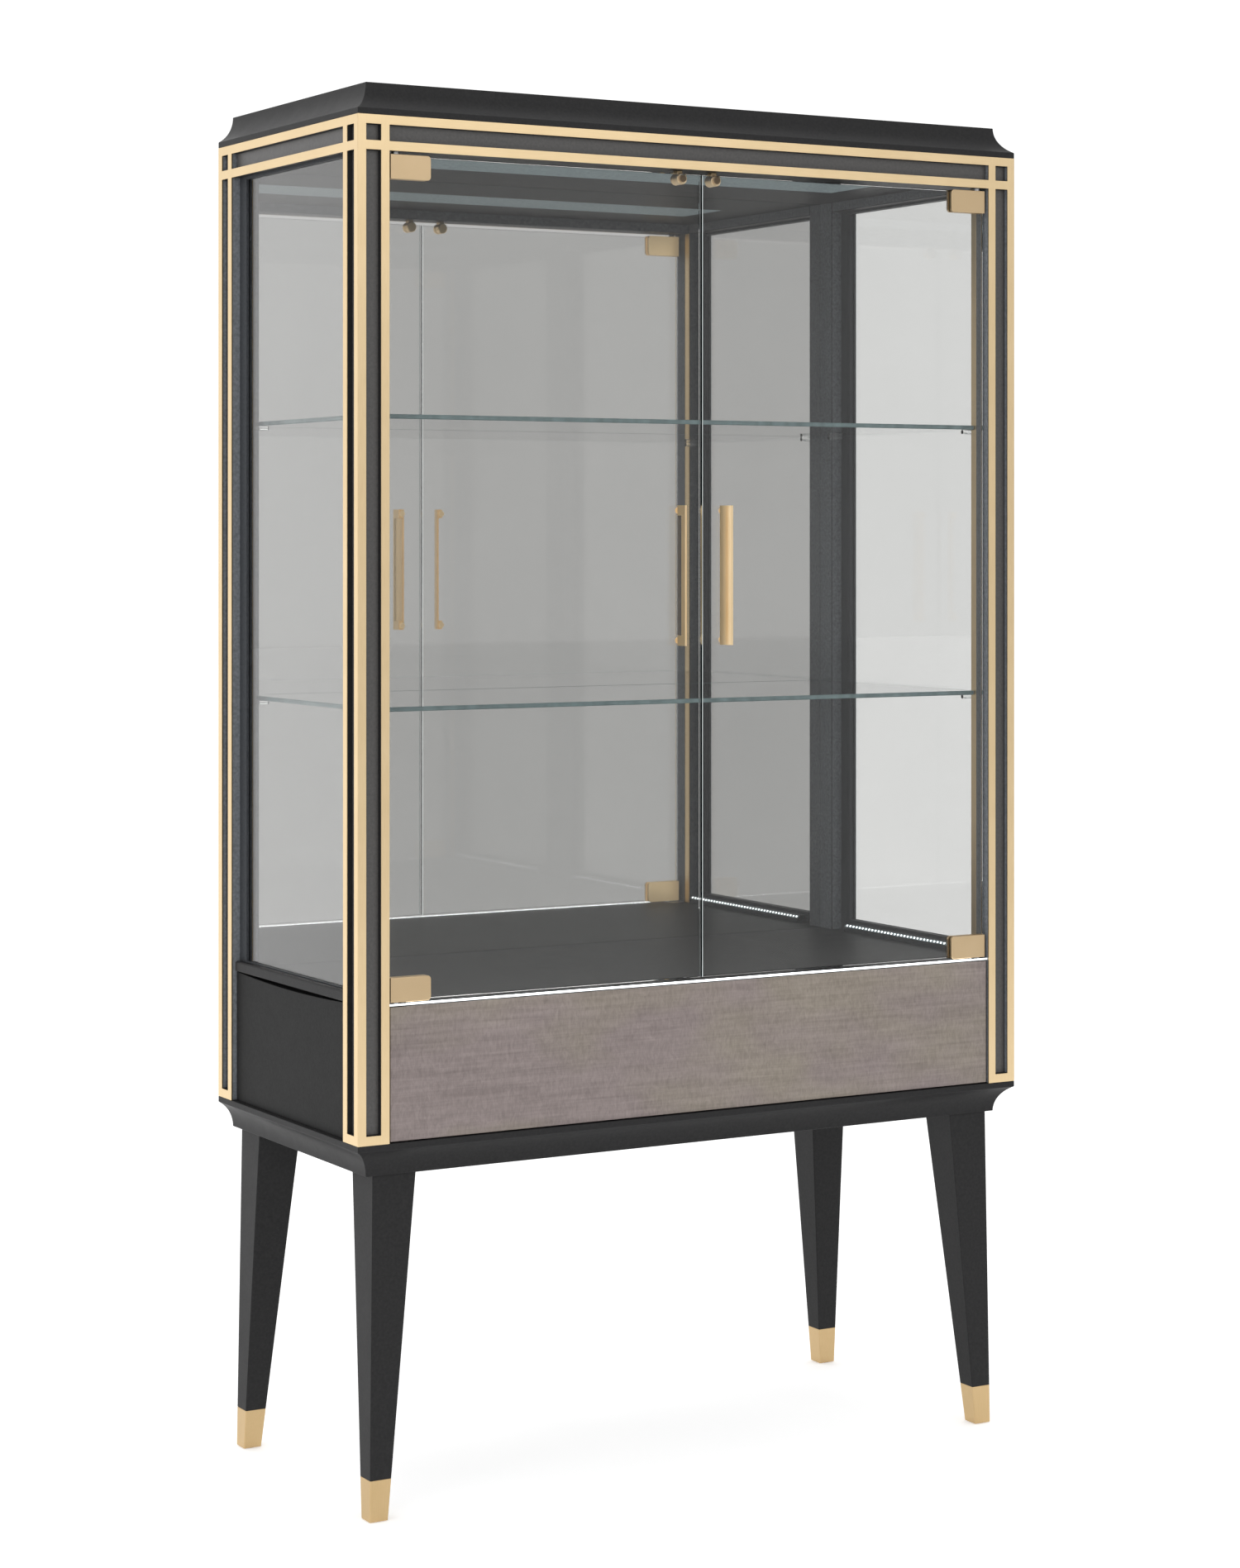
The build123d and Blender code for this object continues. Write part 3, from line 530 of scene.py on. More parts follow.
@dataclass(frozen=True)
class Plastic(Finish):
    """Moulded black plastic with a fine texture."""

    name: str = "textured black plastic"
    slot: str = "black_plastic"
    deep: Colour = (0.016, 0.016, 0.017)
    pale: Colour = (0.028, 0.028, 0.030)

    def dress(self, graph: Graph) -> None:
        """Spark-eroded texture."""
        texture = graph.noise(1600.0, 2.0)
        graph.feed("Base Color", graph.blend(graph.remap(texture, 0.0, 1.0), self.deep, self.pale))
        graph.feed("Roughness", graph.remap(texture, 0.5, 0.65))
        graph.bump(texture, 0.3, 0.1 * MILLIMETRE)


LACQUER = BlackLacquer()
INNER_LACQUER = BlackLacquer(
    name="dead-flat inner lacquer", deep=(0.022, 0.022, 0.022), pale=(0.028, 0.028, 0.028), gloss=0.03
)
# Lighter, bluer copy of the black lacquer: painted light on the side frames, glazing beads and strip light
# bodies.
SIDE_LACQUER_PAINTED_LIGHT = BlackLacquer(
    name="side lacquer with painted light", deep=(0.044, 0.047, 0.052), pale=(0.058, 0.062, 0.068)
)
# Much lighter copy of the black lacquer: painted light on the posts' and rails' faces turned to the inside
# lamps.
FRAME_LACQUER_PAINTED_LIGHT = BlackLacquer(
    name="frame lacquer with painted light", deep=(0.145, 0.157, 0.172), pale=(0.235, 0.250, 0.270)
)
# Lighter, glossier copy of the black lacquer: painted light in the grooves behind the brass.
GROOVE_LACQUER_PAINTED_LIGHT = BlackLacquer(
    name="groove lacquer with painted light", deep=(0.070, 0.068, 0.067), pale=(0.092, 0.089, 0.087), sheen=0.34, gloss=0.4
)
BRASS_UP = BrushedBrass()
BRASS_ACROSS = BrushedBrass(name="brushed brass, lengthwise", grain=Grain.ACROSS)
BRASS_FINE = BrushedBrass(
    name="bead-blasted brass", grain=Grain.EVEN, warm=(0.56, 0.415, 0.245), bright=(0.64, 0.485, 0.300)
)
HANDLE_BRASS = BrushedBrass(
    name="brushed handle brass", warm=(0.86, 0.655, 0.390), bright=(0.93, 0.715, 0.445)
)
# Painted light: brass that glows, standing in for the inside lamps' light on the faces turned to them.
BRASS_PAINTED_GLOW = BrushedBrass(name="brushed brass with painted glow", glow=0.4)
FERRULE_BRASS = BrushedBrass(
    name="deep ferrule brass", warm=(0.56, 0.400, 0.205), bright=(0.62, 0.450, 0.245)
)
GLASS = ClearGlass()
SIDE_GLASS = ClearGlass(name="clear side glass", tint=(0.775, 0.778, 0.771))
SHELF_GLASS = ClearGlass(name="clear shelf glass", tint=(0.945, 0.955, 0.952))
GLASS_EDGE = GlassEdge()
# Painted highlights: these arrises glow where the doors meet, standing in for light caught on the edges.
ARRIS_PAINTED_HIGHLIGHT = GlassEdge(
    name="ground arris with painted highlight", deep=(0.78, 0.83, 0.83), pale=(0.88, 0.93, 0.93), glow=1.2
)
ARRIS_SOFT_PAINTED_HIGHLIGHT = GlassEdge(
    name="ground arris with soft painted highlight", deep=(0.33, 0.36, 0.36), pale=(0.42, 0.46, 0.46), glow=0.65
)
MIRROR = MirrorGlass()
VENEER = GreyVeneer()
DIFFUSER = LightDiffuser()
LIT = LampGlow()
LAMP = LampGlow(name="lamp dome", glow=3.0)
LENS_TOP = LampGlow(name="lens top", glow=5.0)
TIMBER = DrawerTimber()
STEEL = Metal()
RUNNER_STEEL = Metal(
    name="drawn runner steel", slot="runner_steel", dull=(0.34, 0.35, 0.36), clean=(0.5, 0.51, 0.52)
)
PLASTIC = Plastic()


# ---- Meshes ----


def body_of(node: str) -> str:
    """The body that a CAD node rides on."""
    return frame["nodes"][node]["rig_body"]


class Shape:
    """A mesh being made, in metres, in the cabinet's own frame."""

    def __init__(self) -> None:
        """Start with nothing."""
        self.mesh = bmesh.new()

    @classmethod
    def of_node(cls, node: str) -> "Shape":
        """A CAD node's form as clean flat faces, ready to have its edges eased.

        Args:
            node: The CAD node's name.

        Returns:
            A new shape; the node's own mesh isn't touched.
        """
        made = cls()
        made.mesh.from_mesh(frame["nodes"][node].data)
        bmesh.ops.remove_doubles(made.mesh, verts=made.mesh.verts, dist=WELD)
        bmesh.ops.dissolve_limit(
            made.mesh, angle_limit=FLAT, verts=made.mesh.verts, edges=made.mesh.edges
        )
        return made

    def ring(self, loops: Sequence[Loop], closed: bool = False) -> "Shape":
        """Join loops of points, one after another, with four-sided faces.

        Args:
            loops: Loops with the same number of points.
            closed: True if the last loop joins the first, otherwise both ends get a face.

        Returns:
            The shape itself.
        """
        rows = [[self.mesh.verts.new(point) for point in loop] for loop in loops]
        pairs = list(zip(rows, rows[1:]))
        if closed:
            pairs.append((rows[-1], rows[0]))
        else:
            self.mesh.faces.new(rows[0])
            self.mesh.faces.new(rows[-1])
        for first, second in pairs:
            for i in range(len(first)):
                j = (i + 1) % len(first)
                self.mesh.faces.new((first[i], first[j], second[j], second[i]))
        return self

    def lattice(
        self, axis: Axis, across: Sequence[float], up: Sequence[float],
        is_open: Callable[[int, int], bool], near: float, far: float,
    ) -> "Shape":
        """A plate with openings, as one clean grid.

        Args:
            axis: The plate's thickness lies along it.
            across: Cut lines along the other horizontal axis.
            up: Cut lines along Z.
            is_open: True for each cell (column, row) that is an opening.
            near: One face's level on the axis.
            far: The other face's level.

        Returns:
            The shape itself.
        """
        columns, rows = len(across) - 1, len(up) - 1
        found: dict[tuple[int, int, float], bmesh.types.BMVert] = {}

        def corner(i: int, j: int, level: float) -> bmesh.types.BMVert:
            """The grid's vertex at a cut line crossing."""
            if (i, j, level) not in found:
                flat = (level, across[i], up[j]) if axis is Axis.X else (across[i], level, up[j])
                found[i, j, level] = self.mesh.verts.new(flat)
            return found[i, j, level]

        def solid(i: int, j: int) -> bool:
            """True where the plate has metal."""
            return 0 <= i < columns and 0 <= j < rows and not is_open(i, j)

        for i in range(columns):
            for j in range(rows):
                if not solid(i, j):
                    continue
                for level in (near, far):
                    cell = ((i, j), (i + 1, j), (i + 1, j + 1), (i, j + 1))
                    self.mesh.faces.new([corner(a, b, level) for a, b in cell])
                walls = (
                    ((i - 1, j), (i, j), (i, j + 1)),
                    ((i + 1, j), (i + 1, j), (i + 1, j + 1)),
                    ((i, j - 1), (i, j), (i + 1, j)),
                    ((i, j + 1), (i, j + 1), (i + 1, j + 1)),
                )
                for beside, first, second in walls:
                    if not solid(*beside):
                        edge = ((first, near), (second, near), (second, far), (first, far))
                        self.mesh.faces.new([corner(*crossing, level) for crossing, level in edge])
        return self

    def ease(
        self, width: float, segments: int = 2, sharper_than: float = 35.0, longer_than: float = 0.0
    ) -> "Shape":
        """Round the sharp edges a little.

        Args:
            width: Size of the rounding in metres.
            segments: Faces across it.
            sharper_than: Only edges that turn by more than this many degrees.
            longer_than: Only edges longer than this many metres.

        Returns:
            The shape itself.
        """
        bmesh.ops.recalc_face_normals(self.mesh, faces=self.mesh.faces)
        limit = math.radians(sharper_than)
        edges = [
            edge for edge in self.mesh.edges
            if edge.is_manifold and edge.calc_face_angle(0.0) > limit and edge.calc_length() > longer_than
        ]
        bmesh.ops.bevel(
            self.mesh, geom=edges, offset=width, offset_type="OFFSET", segments=segments,
            profile=0.5, affect="EDGES", clamp_overlap=True,
        )
        return self

    def mark(self, index: int, chosen: FaceTest) -> "Shape":
        """Give some faces another of the piece's materials.

        Args:
            index: The material's number on the piece.
            chosen: True for each face that gets it.

        Returns:
            The shape itself.
        """
        self.mesh.normal_update()
        for face in self.mesh.faces:
            if chosen(face):
                face.material_index = index
        return self

    def box(self, low: Sequence[float], high: Sequence[float]) -> "Shape":
        """Add a box.

        Args:
            low: Its lowest corner.
            high: Its highest corner.

        Returns:
            The shape itself.
        """
        (left, near, bottom), (right, far, top) = low, high
        corners = ((left, near), (right, near), (right, far), (left, far))
        return self.ring([[Vector((x, y, level)) for x, y in corners] for level in (bottom, top)])

    def piece(
        self, name: str, body: str, finishes: Sequence[Finish], stands_for: Sequence[str] = (),
        smooth: float = 40.0,
    ) -> bpy.types.Object:
        """Turn the shape into a piece that rides on a body.

        Args:
            name: The piece's name.
            body: The CAD body that it rides on.
            finishes: Its finishes, in the order of the faces' material numbers.
            stands_for: CAD nodes that it is shown in place of.
            smooth: Edges that turn by less than this many degrees are shaded smooth.

        Returns:
            The piece.
        """
        bmesh.ops.recalc_face_normals(self.mesh, faces=self.mesh.faces)
        data = bpy.data.meshes.new(name)
        self.mesh.to_mesh(data)
        self.mesh.free()
        data.shade_smooth()
        data.set_sharp_from_angle(angle=math.radians(smooth))
        made = bpy.data.objects.new(name, data)
        bpy.context.scene.collection.objects.link(made)
        for finish in finishes:
            data.materials.append(finish.material())
        weighted = made.modifiers.new("even shading", "WEIGHTED_NORMAL")
        weighted.keep_sharp = True
        weighted.weight = 80
        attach(made, body)
        if stands_for:
            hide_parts(*stands_for)
        log.info("%s on %s: %d faces", name, body, len(data.polygons))
        return made


def dressed(
    node: str, finish: Finish, ease: float = 0.6, segments: int = 2, smooth: float = 40.0
) -> bpy.types.Object:
    """A CAD node's form with eased edges and its finish.

    Args:
        node: The CAD node's name.
        finish: Its finish.
        ease: Size of the edge rounding in millimetres.
        segments: Faces across the rounding.
        smooth: Shading angle in degrees.

    Returns:
        The piece that stands for the node.
    """
    shape = Shape.of_node(node).ease(ease * MILLIMETRE, segments)
    return shape.piece(f"dressed_{node}", body_of(node), (finish,), (node,), smooth)


def pane(
    node: str, axis: Axis, glass: Finish = GLASS, edge: Finish = GLASS_EDGE, arris: float = 0.7,
    arrises: Sequence[tuple[Finish, FaceTest]] = (),
) -> bpy.types.Object:
    """A glass pane with ground arrises and its own edge colour.

    Args:
        node: The CAD node's name.
        axis: The pane's thickness lies along it.
        glass: Finish of the wide faces.
        edge: Finish of the narrow faces and the arrises.
        arris: Width of the arris in millimetres.
        arrises: Other finishes, each with the arris faces that have it.

    Returns:
        The piece that stands for the node.
    """
    shape = Shape.of_node(node).ease(arris * MILLIMETRE, 1, longer_than=LONG_EDGE)
    shape.mark(1, lambda face: abs(face.normal[axis.value]) < WIDE_FACE)
    for index, (_, chosen) in enumerate(arrises, 2):
        shape.mark(
            index, lambda face: SLANTED_FACE < abs(face.normal[axis.value]) < WIDE_FACE and chosen(face)
        )
    finishes = (glass, edge, *(finish for finish, _ in arrises))
    return shape.piece(f"dressed_{node}", body_of(node), finishes, (node,), 20.0)


def finish_node(node: str, finish: Finish) -> None:
    """Give a CAD node that stays as it is its finish.

    Args:
        node: The node's name.
        finish: Its finish.
    """
    kept = frame["nodes"][node]
    for slot in kept.material_slots:
        slot.material = finish.material()
    log.info("%s kept, %s", node, finish.name)


# ---- Sub-assemblies ----


@dataclass
class Moulding:
    """A coved moulding round the front and both sides, with the board that fills it."""

    node: str
    board_node: str
    wide_on_top: bool
    band: float = 0.008
    cove: float = 0.0217
    steps: int = 14
    inner_ring: float = 0.110
    board_gap: float = 0.0003
    ease: float = 0.0009

    def profile(self, low: float, high: float) -> list[tuple[float, float]]:
        """The outside line from bottom to top, a hollow curve and a flat band.

        Args:
            low: The moulding's lowest level.
            high: The moulding's highest level.

        Returns:
            Points as (inset, level).
        """
        drop = high - low - self.band
        radius = (self.cove**2 + drop**2) / (2 * self.cove)
        sweep = math.asin(drop / radius)
        narrow, sign = (low, 1) if self.wide_on_top else (high, -1)
        curve = [
            (self.cove - radius * (1 - math.cos(sweep * i / self.steps)),
             narrow + sign * radius * math.sin(sweep * i / self.steps))
            for i in range(self.steps + 1)
        ]
        line = [*curve, (0.0, high if self.wide_on_top else low)]
        return line if self.wide_on_top else line[::-1]

    def outer_loop(self, inset: float, level: float) -> Loop:
        """Four corners of the moulding; the back stays flat.

        Args:
            inset: How far they lie inside the moulding's box.
            level: Their level.

        Returns:
            The corners.
        """
        low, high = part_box(self.node)
        return [
            Vector((low.x + inset, high.y, level)), Vector((low.x + inset, low.y + inset, level)),
            Vector((high.x - inset, low.y + inset, level)), Vector((high.x - inset, high.y, level)),
        ]

    def inner_loop(self, inset: float, level: float) -> Loop:
        """Four corners of the opening.

        Args:
            inset: How far they lie inside the moulding's box.
            level: Their level.

        Returns:
            The corners.
        """
        low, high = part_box(self.node)
        return [
            Vector((low.x + inset, high.y - inset, level)), Vector((low.x + inset, low.y + inset, level)),
            Vector((high.x - inset, low.y + inset, level)), Vector((high.x - inset, high.y - inset, level)),
        ]

    def build(self) -> None:
        """Make the moulding and its board."""
        low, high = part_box(self.node)
        board_low, board_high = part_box(self.board_node)
        rebate = board_low.x - low.x - self.board_gap
        seat = board_low.z
        outside = [self.outer_loop(inset, level) for inset, level in self.profile(low.z, high.z)]
        inside = [
            self.inner_loop(rebate, board_high.z), self.inner_loop(rebate, seat),
            self.inner_loop(self.inner_ring, seat), self.inner_loop(self.inner_ring, low.z),
        ]
        shape = Shape().ring([*outside, *inside], closed=True).ease(self.ease, 3)
        shape.piece(f"dressed_{self.node}", body_of(self.node), (LACQUER,), (self.node,), 30.0)
        dressed(self.board_node, LACQUER, 0.8)


@dataclass
class BrassLattice:
    """The brass strips on the posts and top rails of the front and both sides."""

    strip: float = 0.012
    post: float = 0.045
    ease: float = 0.00045
    open_columns: tuple[int, ...] = (1, 5)
    middle_column: int = 3

    def is_open(self, column: int, row: int) -> bool:
        """Where the lattice is open: between the strips, and below the top rail.

        Args:
            column: The cell's column.
            row: The cell's row.

        Returns:
            True for an opening.
        """
        if column in self.open_columns:
            return row in (1, 3)
        return column == self.middle_column and row in (0, 1, 3)

    def plate(self, node: str, axis: Axis, first: float, low: Vector, high: Vector) -> None:
        """One face of the lattice.

        Args:
            node: The CAD node it stands for.
            axis: The plate's thickness lies along it.
            first: Where the first strip's covered edge would start; the node itself may start a plate later.
            low: The node's lowest corner.
            high: The node's highest corner.
        """
        along = Axis.Y if axis is Axis.X else Axis.X
        start, end = low[along.value], high[along.value]
        strip, post = self.strip, self.post
        across = [
            start, first + strip, first + post - strip, first + post,
            end - post, end - post + strip, end - strip, end,
        ]
        rail = high.z - post
        up = [low.z, low.z + strip, rail, rail + strip, high.z - strip, high.z]
        shape = Shape().lattice(axis, across, up, self.is_open, low[axis.value], high[axis.value])
        shape.ease(self.ease, 2)

        def lies_across(face: bmesh.types.BMFace) -> bool:
            """True for the strips of the top rail."""
            middle = face.calc_center_median()
            return rail < middle.z and first + post < middle[along.value] < end - post

        shape.mark(1, lies_across)
        shape.piece(f"dressed_{node}", body_of(node), (BRASS_UP, BRASS_ACROSS), (node,))

    def build(self) -> None:
        """Make the three plates."""
        low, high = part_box("front_brass_lattice")
        self.plate("front_brass_lattice", Axis.Y, low.x, low, high)
        front = low.y
        for side in SIDES:
            node = f"{side}_brass_lattice"
            low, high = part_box(node)
            self.plate(node, Axis.X, front, low, high)


@dataclass
class PostsAndRails:
    """The lacquered corner posts, the top rails and the brass strips inside the door opening."""

    ease: float = 0.0007
    groove_depth: float = 0.008
    slack: float = 0.0005

    def in_groove(self, face: bmesh.types.BMFace) -> bool:
        """Find the bottom of a groove, a set depth behind the brass.

        Args:
            face: A face of a post or rail.

        Returns:
            True for a groove's bottom.
        """
        low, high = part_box("front_brass_lattice")
        middle, way = face.calc_center_median(), face.normal
        if abs(way.x) > SQUARE_ON:
            return abs(high.x - self.groove_depth - abs(middle.x)) < self.slack
        return way.y < -SQUARE_ON and abs(low.y + self.groove_depth - middle.y) < self.slack

    def faces_inward(self, face: bmesh.types.BMFace) -> bool:
        """Find the faces seen from inside the cabinet.

        Args:
            face: A face of a post or rail.

        Returns:
            True for one that faces inward.
        """
        low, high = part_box("display_floor")
        middle, way = face.calc_center_median(), face.normal
        centre = (low + high) / 2
        to_middle = -way.x * math.copysign(1.0, middle.x)
        to_centre = -way.y * math.copysign(1.0, middle.y - centre.y)
        return middle.z > high.z and max(to_middle, to_centre) > SQUARE_ON

    def grooved(self, node: str) -> None:
        """A post or rail with lighter copies of its lacquer, painted light, in its grooves and on its faces
        turned inward.
        """
        # Groove bottoms and inward faces get the lighter lacquer copies as painted light.
        shape = Shape.of_node(node).ease(self.ease).mark(1, self.in_groove).mark(2, self.faces_inward)
        shape.piece(f"dressed_{node}", body_of(node), (LACQUER, GROOVE_LACQUER_PAINTED_LIGHT, FRAME_LACQUER_PAINTED_LIGHT), (node,))

    def build(self) -> None:
        """Make every post and rail."""
        for corner in CORNERS:
            self.grooved(f"{corner}_post")
        self.grooved("front_top_rail")
        for side in SIDES:
            self.grooved(f"{side}_top_rail")
        dressed("back_top_rail", LACQUER)
        dressed("post_inner_strips", BRASS_UP, 0.4)


@dataclass
class Legs:
    """Four tapered legs with brass ferrules, glides and bolts."""

    ease: float = 0.9
    ferrule_ease: float = 0.7

    def build(self) -> None:
        """Make the legs and finish their fittings."""
        for corner in CORNERS:
            dressed(f"{corner}_leg", LACQUER, self.ease, smooth=30.0)
        dressed("leg_ferrules", FERRULE_BRASS, self.ferrule_ease, smooth=30.0)
        finish_node("foot_glides", PLASTIC)
        finish_node("leg_bolts", STEEL)


@dataclass
class GlazedSides:
    """The side frames, panes, beads, sills, lower panels and strip lights."""

    ease: float = 0.6
    lamp_pitch: float = 0.0084
    lamp_radius: float = 0.0017
    lamp_inset: float = 0.0022
    strip_ease: float = 0.3

    def lamps(self) -> None:
        """A row of small domed lamps along each strip light's chamfer."""
        low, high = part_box("side_lights")
        shape = Shape()
        count = int((high.y - low.y) / self.lamp_pitch)
        start = (low.y + high.y - (count - 1) * self.lamp_pitch) / 2
        reach = min(abs(vertex.co.x) for vertex in frame["nodes"]["side_lights"].data.vertices)
        across, level = reach + self.lamp_inset, high.z - self.lamp_inset
        for sign in SIDES.values():
            for i in range(count):
                middle = Vector((sign * across, start + i * self.lamp_pitch, level))
                made = bmesh.ops.create_icosphere(shape.mesh, subdivisions=2, radius=self.lamp_radius)
                bmesh.ops.translate(shape.mesh, verts=made["verts"], vec=middle)
        shape.piece("strip_lamps", body_of("side_lights"), (LAMP,), smooth=180.0)

    def build(self) -> None:
        """Make both sides."""
        for side in SIDES:
            dressed(f"{side}_side_frame", SIDE_LACQUER_PAINTED_LIGHT, self.ease)
            dressed(f"{side}_side_panel", INNER_LACQUER, 0.8, smooth=30.0)
        dressed("side_sills", LACQUER, 0.5)
        dressed("side_glazing_beads", SIDE_LACQUER_PAINTED_LIGHT, 0.5)
        pane("side_glass_panes", Axis.X, SIDE_GLASS, SIDE_GLASS)
        strips = Shape.of_node("side_lights").ease(self.strip_ease * MILLIMETRE, 1)
        strips.mark(
            1, lambda face: SLANTED_FACE < abs(face.normal.x) < WIDE_FACE and face.normal.z > SLANTED_FACE
        )
        strips.piece(
            "dressed_side_lights", body_of("side_lights"), (SIDE_LACQUER_PAINTED_LIGHT, DIFFUSER), ("side_lights",)
        )
        self.lamps()


@dataclass
class Interior:
    """The floor, the ceiling with its light, the back, the mirror and the shelves."""

    lens_depth: float = 0.0032
    lens_ease: float = 0.05
    joint: float = 0.0002

    def threshold(self) -> None:
        """The strip under the doors: a lit lens along the front of a black channel.

        Two thin slips carry the lens on over the pivot plates at its ends.
        """
        low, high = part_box("threshold_light")
        plate_low, plate_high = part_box("pivot_pins")
        seam = low.y + self.lens_depth
        shape = Shape()
        shape.box(low, (high.x, seam - self.joint, high.z)).box((low.x, seam, low.z), high)
        for left, right in ((plate_low.x, low.x), (high.x, plate_high.x)):
            shape.box((left, low.y - self.joint, low.z), (right, low.y, high.z))
        shape.ease(self.lens_ease * MILLIMETRE, 1).mark(2, lambda face: face.normal.z > WIDE_FACE)
        shape.mark(1, lambda face: face.calc_center_median().y > seam - self.joint)
        shape.piece(
            "threshold_strip", body_of("threshold_light"), (LIT, LACQUER, LENS_TOP), ("threshold_light",)
        )

    def build(self) -> None:
        """Make what is seen inside, and the back."""
        dressed("display_floor", INNER_LACQUER, 0.5)
        dressed("ceiling_board", INNER_LACQUER, 0.5)
        dressed("ceiling_light_panel", DIFFUSER, 0.5)
        dressed("back_panel", LACQUER, 1.0)
        dressed("back_mirror", MIRROR, 0.3, 1)
        self.threshold()
        finish_node("pivot_pins", STEEL)
        for shelf in ("lower_shelf", "upper_shelf"):
            pane(shelf, Axis.Z, SHELF_GLASS, arris=1.0)
        finish_node("shelf_pins", SHELF_GLASS)
        finish_node("light_driver", PLASTIC)
        finish_node("front_floor_rail", TIMBER)


@dataclass
class Catches:
    """The magnetic catches under the top rail: turned barrels on short necks."""

    segments: int = 40
    chamfer: float = 0.0012
    magnet_radius: float = 0.0045
    magnet_depth: float = 0.0008
    band_depth: float = 0.0005
    neck_half: float = 0.004
    neck_ease: float = 0.0005
    neck_start: float = 0.8  # share of the barrel's radius above its axis

    def barrel(self, shape: Shape, x: float, level: float, near: float, far: float, radius: float) -> None:
        """Turn one barrel about an axis along Y.

        Args:
            shape: The mesh to add it to.
            x: Where its axis lies along X.
            level: Height of its axis.
            near: Level of its front face.
            far: Level of its back face.
            radius: Its radius.
        """
        waist = radius - self.band_depth
        third = (far - near) / 3
        turns = [2 * math.pi * i / self.segments for i in range(self.segments)]
        line = [
            (self.magnet_radius, near + self.magnet_depth), (self.magnet_radius, near),
            (radius - self.chamfer, near), (radius, near + self.chamfer),
            (radius, near + third - self.band_depth), (waist, near + third),
            (waist, far - third), (radius, far - third + self.band_depth),
            (radius, far - self.chamfer), (radius - self.chamfer, far),
        ]
        shape.ring([
            [Vector((x + reach * math.cos(turn), y, level + reach * math.sin(turn))) for turn in turns]
            for reach, y in line
        ])

    def build(self) -> None:
        """Make the two catches in line with their plates on the doors."""
        low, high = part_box("magnetic_catches")
        plate_low, plate_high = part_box("right_catch_plate")
        x = (plate_low.x + plate_high.x) / 2
        level = (plate_low.z + plate_high.z) / 2
        radius = level - low.z
        body = body_of("magnetic_catches")
        barrels, necks = Shape(), Shape()
        for sign in SIDES.values():
            middle = sign * x
            self.barrel(barrels, middle, level, low.y, high.y, radius)
            necks.box(
                (middle - self.neck_half, low.y + self.neck_half, level + radius * self.neck_start),
                (middle + self.neck_half, high.y - self.neck_half, high.z),
            )
        barrels.piece("catch_barrels", body, (HANDLE_BRASS,), ("magnetic_catches",), 30.0)
        necks.ease(self.neck_ease).piece("catch_necks", body, (BRASS_FINE,))


@dataclass
class GlassDoor:
    """One frameless glass door with its clamps, handle, screws and catch plate."""

    side: str
    handle_ease: float = 0.6

    def node(self, part: str) -> str:
        """The CAD node of one of the door's parts."""
        return f"{self.side}_{part}"

    def dress_with_painted_glow(self, part: str, finish: Finish, ease: float) -> None:
        """Dress a brass part, with a painted glow on its back faces standing in for light from the lamps
        inside.

        Args:
            part: The part's name without the door's side.
            finish: Finish of all its other faces.
            ease: Size of the edge rounding in millimetres.
        """
        node = self.node(part)
        shape = Shape.of_node(node).ease(ease * MILLIMETRE)
        # Faces turned to the back get the painted glow.
        shape.mark(1, lambda face: face.normal.y > WIDE_FACE)
        shape.piece(f"dressed_{node}", body_of(node), (finish, BRASS_PAINTED_GLOW), (node,), 30.0)

    def meets(self, face: bmesh.types.BMFace) -> bool:
        """True for the faces at the edge that meets the other door."""
        return -SIDES[self.side] * face.normal.x > SLANTED_FACE

    def build(self) -> None:
        """Make the door; the arrises where it meets the other one glow with painted highlights."""
        arrises = [(ARRIS_SOFT_PAINTED_HIGHLIGHT, lambda face: self.meets(face) and face.normal.y < 0.0)]
        if self.side == "right":
            arrises.append((ARRIS_PAINTED_HIGHLIGHT, lambda face: self.meets(face) and face.normal.y > 0.0))
        pane(self.node("door_glass"), Axis.Y, edge=GLASS, arrises=arrises)
        self.dress_with_painted_glow("door_hinges", BRASS_FINE, 0.5)
        self.dress_with_painted_glow("door_handle", HANDLE_BRASS, self.handle_ease)
        # The screw heads glow all over: painted light, as they are no lamp.
        dressed(self.node("handle_screws"), BRASS_PAINTED_GLOW, 0.3)
        dressed(self.node("catch_plate"), HANDLE_BRASS, 0.3)


@dataclass
class Drawer:
    """The drawer: veneered front, timber box and steel slides."""

    def build(self) -> None:
        """Make the drawer and what it runs on."""
        dressed("drawer_front", VENEER, 0.8)
        dressed("drawer_box", TIMBER, 0.8)
        dressed("drawer_bottom", TIMBER, 0.4)
        dressed("drawer_slides", RUNNER_STEEL, 0.2)
        dressed("drawer_runners", RUNNER_STEEL, 0.2)
        finish_node("runner_packers", TIMBER)


@dataclass(frozen=True)
class SoftBox:
    """A rectangular soft light on a stand."""

    name: str
    place: Place
    aim: Place
    width: float
    height: float
    power: float

    def build(self) -> None:
        """Set it up."""
        lamp = bpy.data.lights.new(self.name, "AREA")
        lamp.shape = "RECTANGLE"
        lamp.size, lamp.size_y, lamp.energy = self.width, self.height, self.power
        made = bpy.data.objects.new(self.name, lamp)
        made.location = self.place
        made.rotation_euler = (Vector(self.aim) - Vector(self.place)).to_track_quat("-Z", "Y").to_euler()
        bpy.context.scene.collection.objects.link(made)


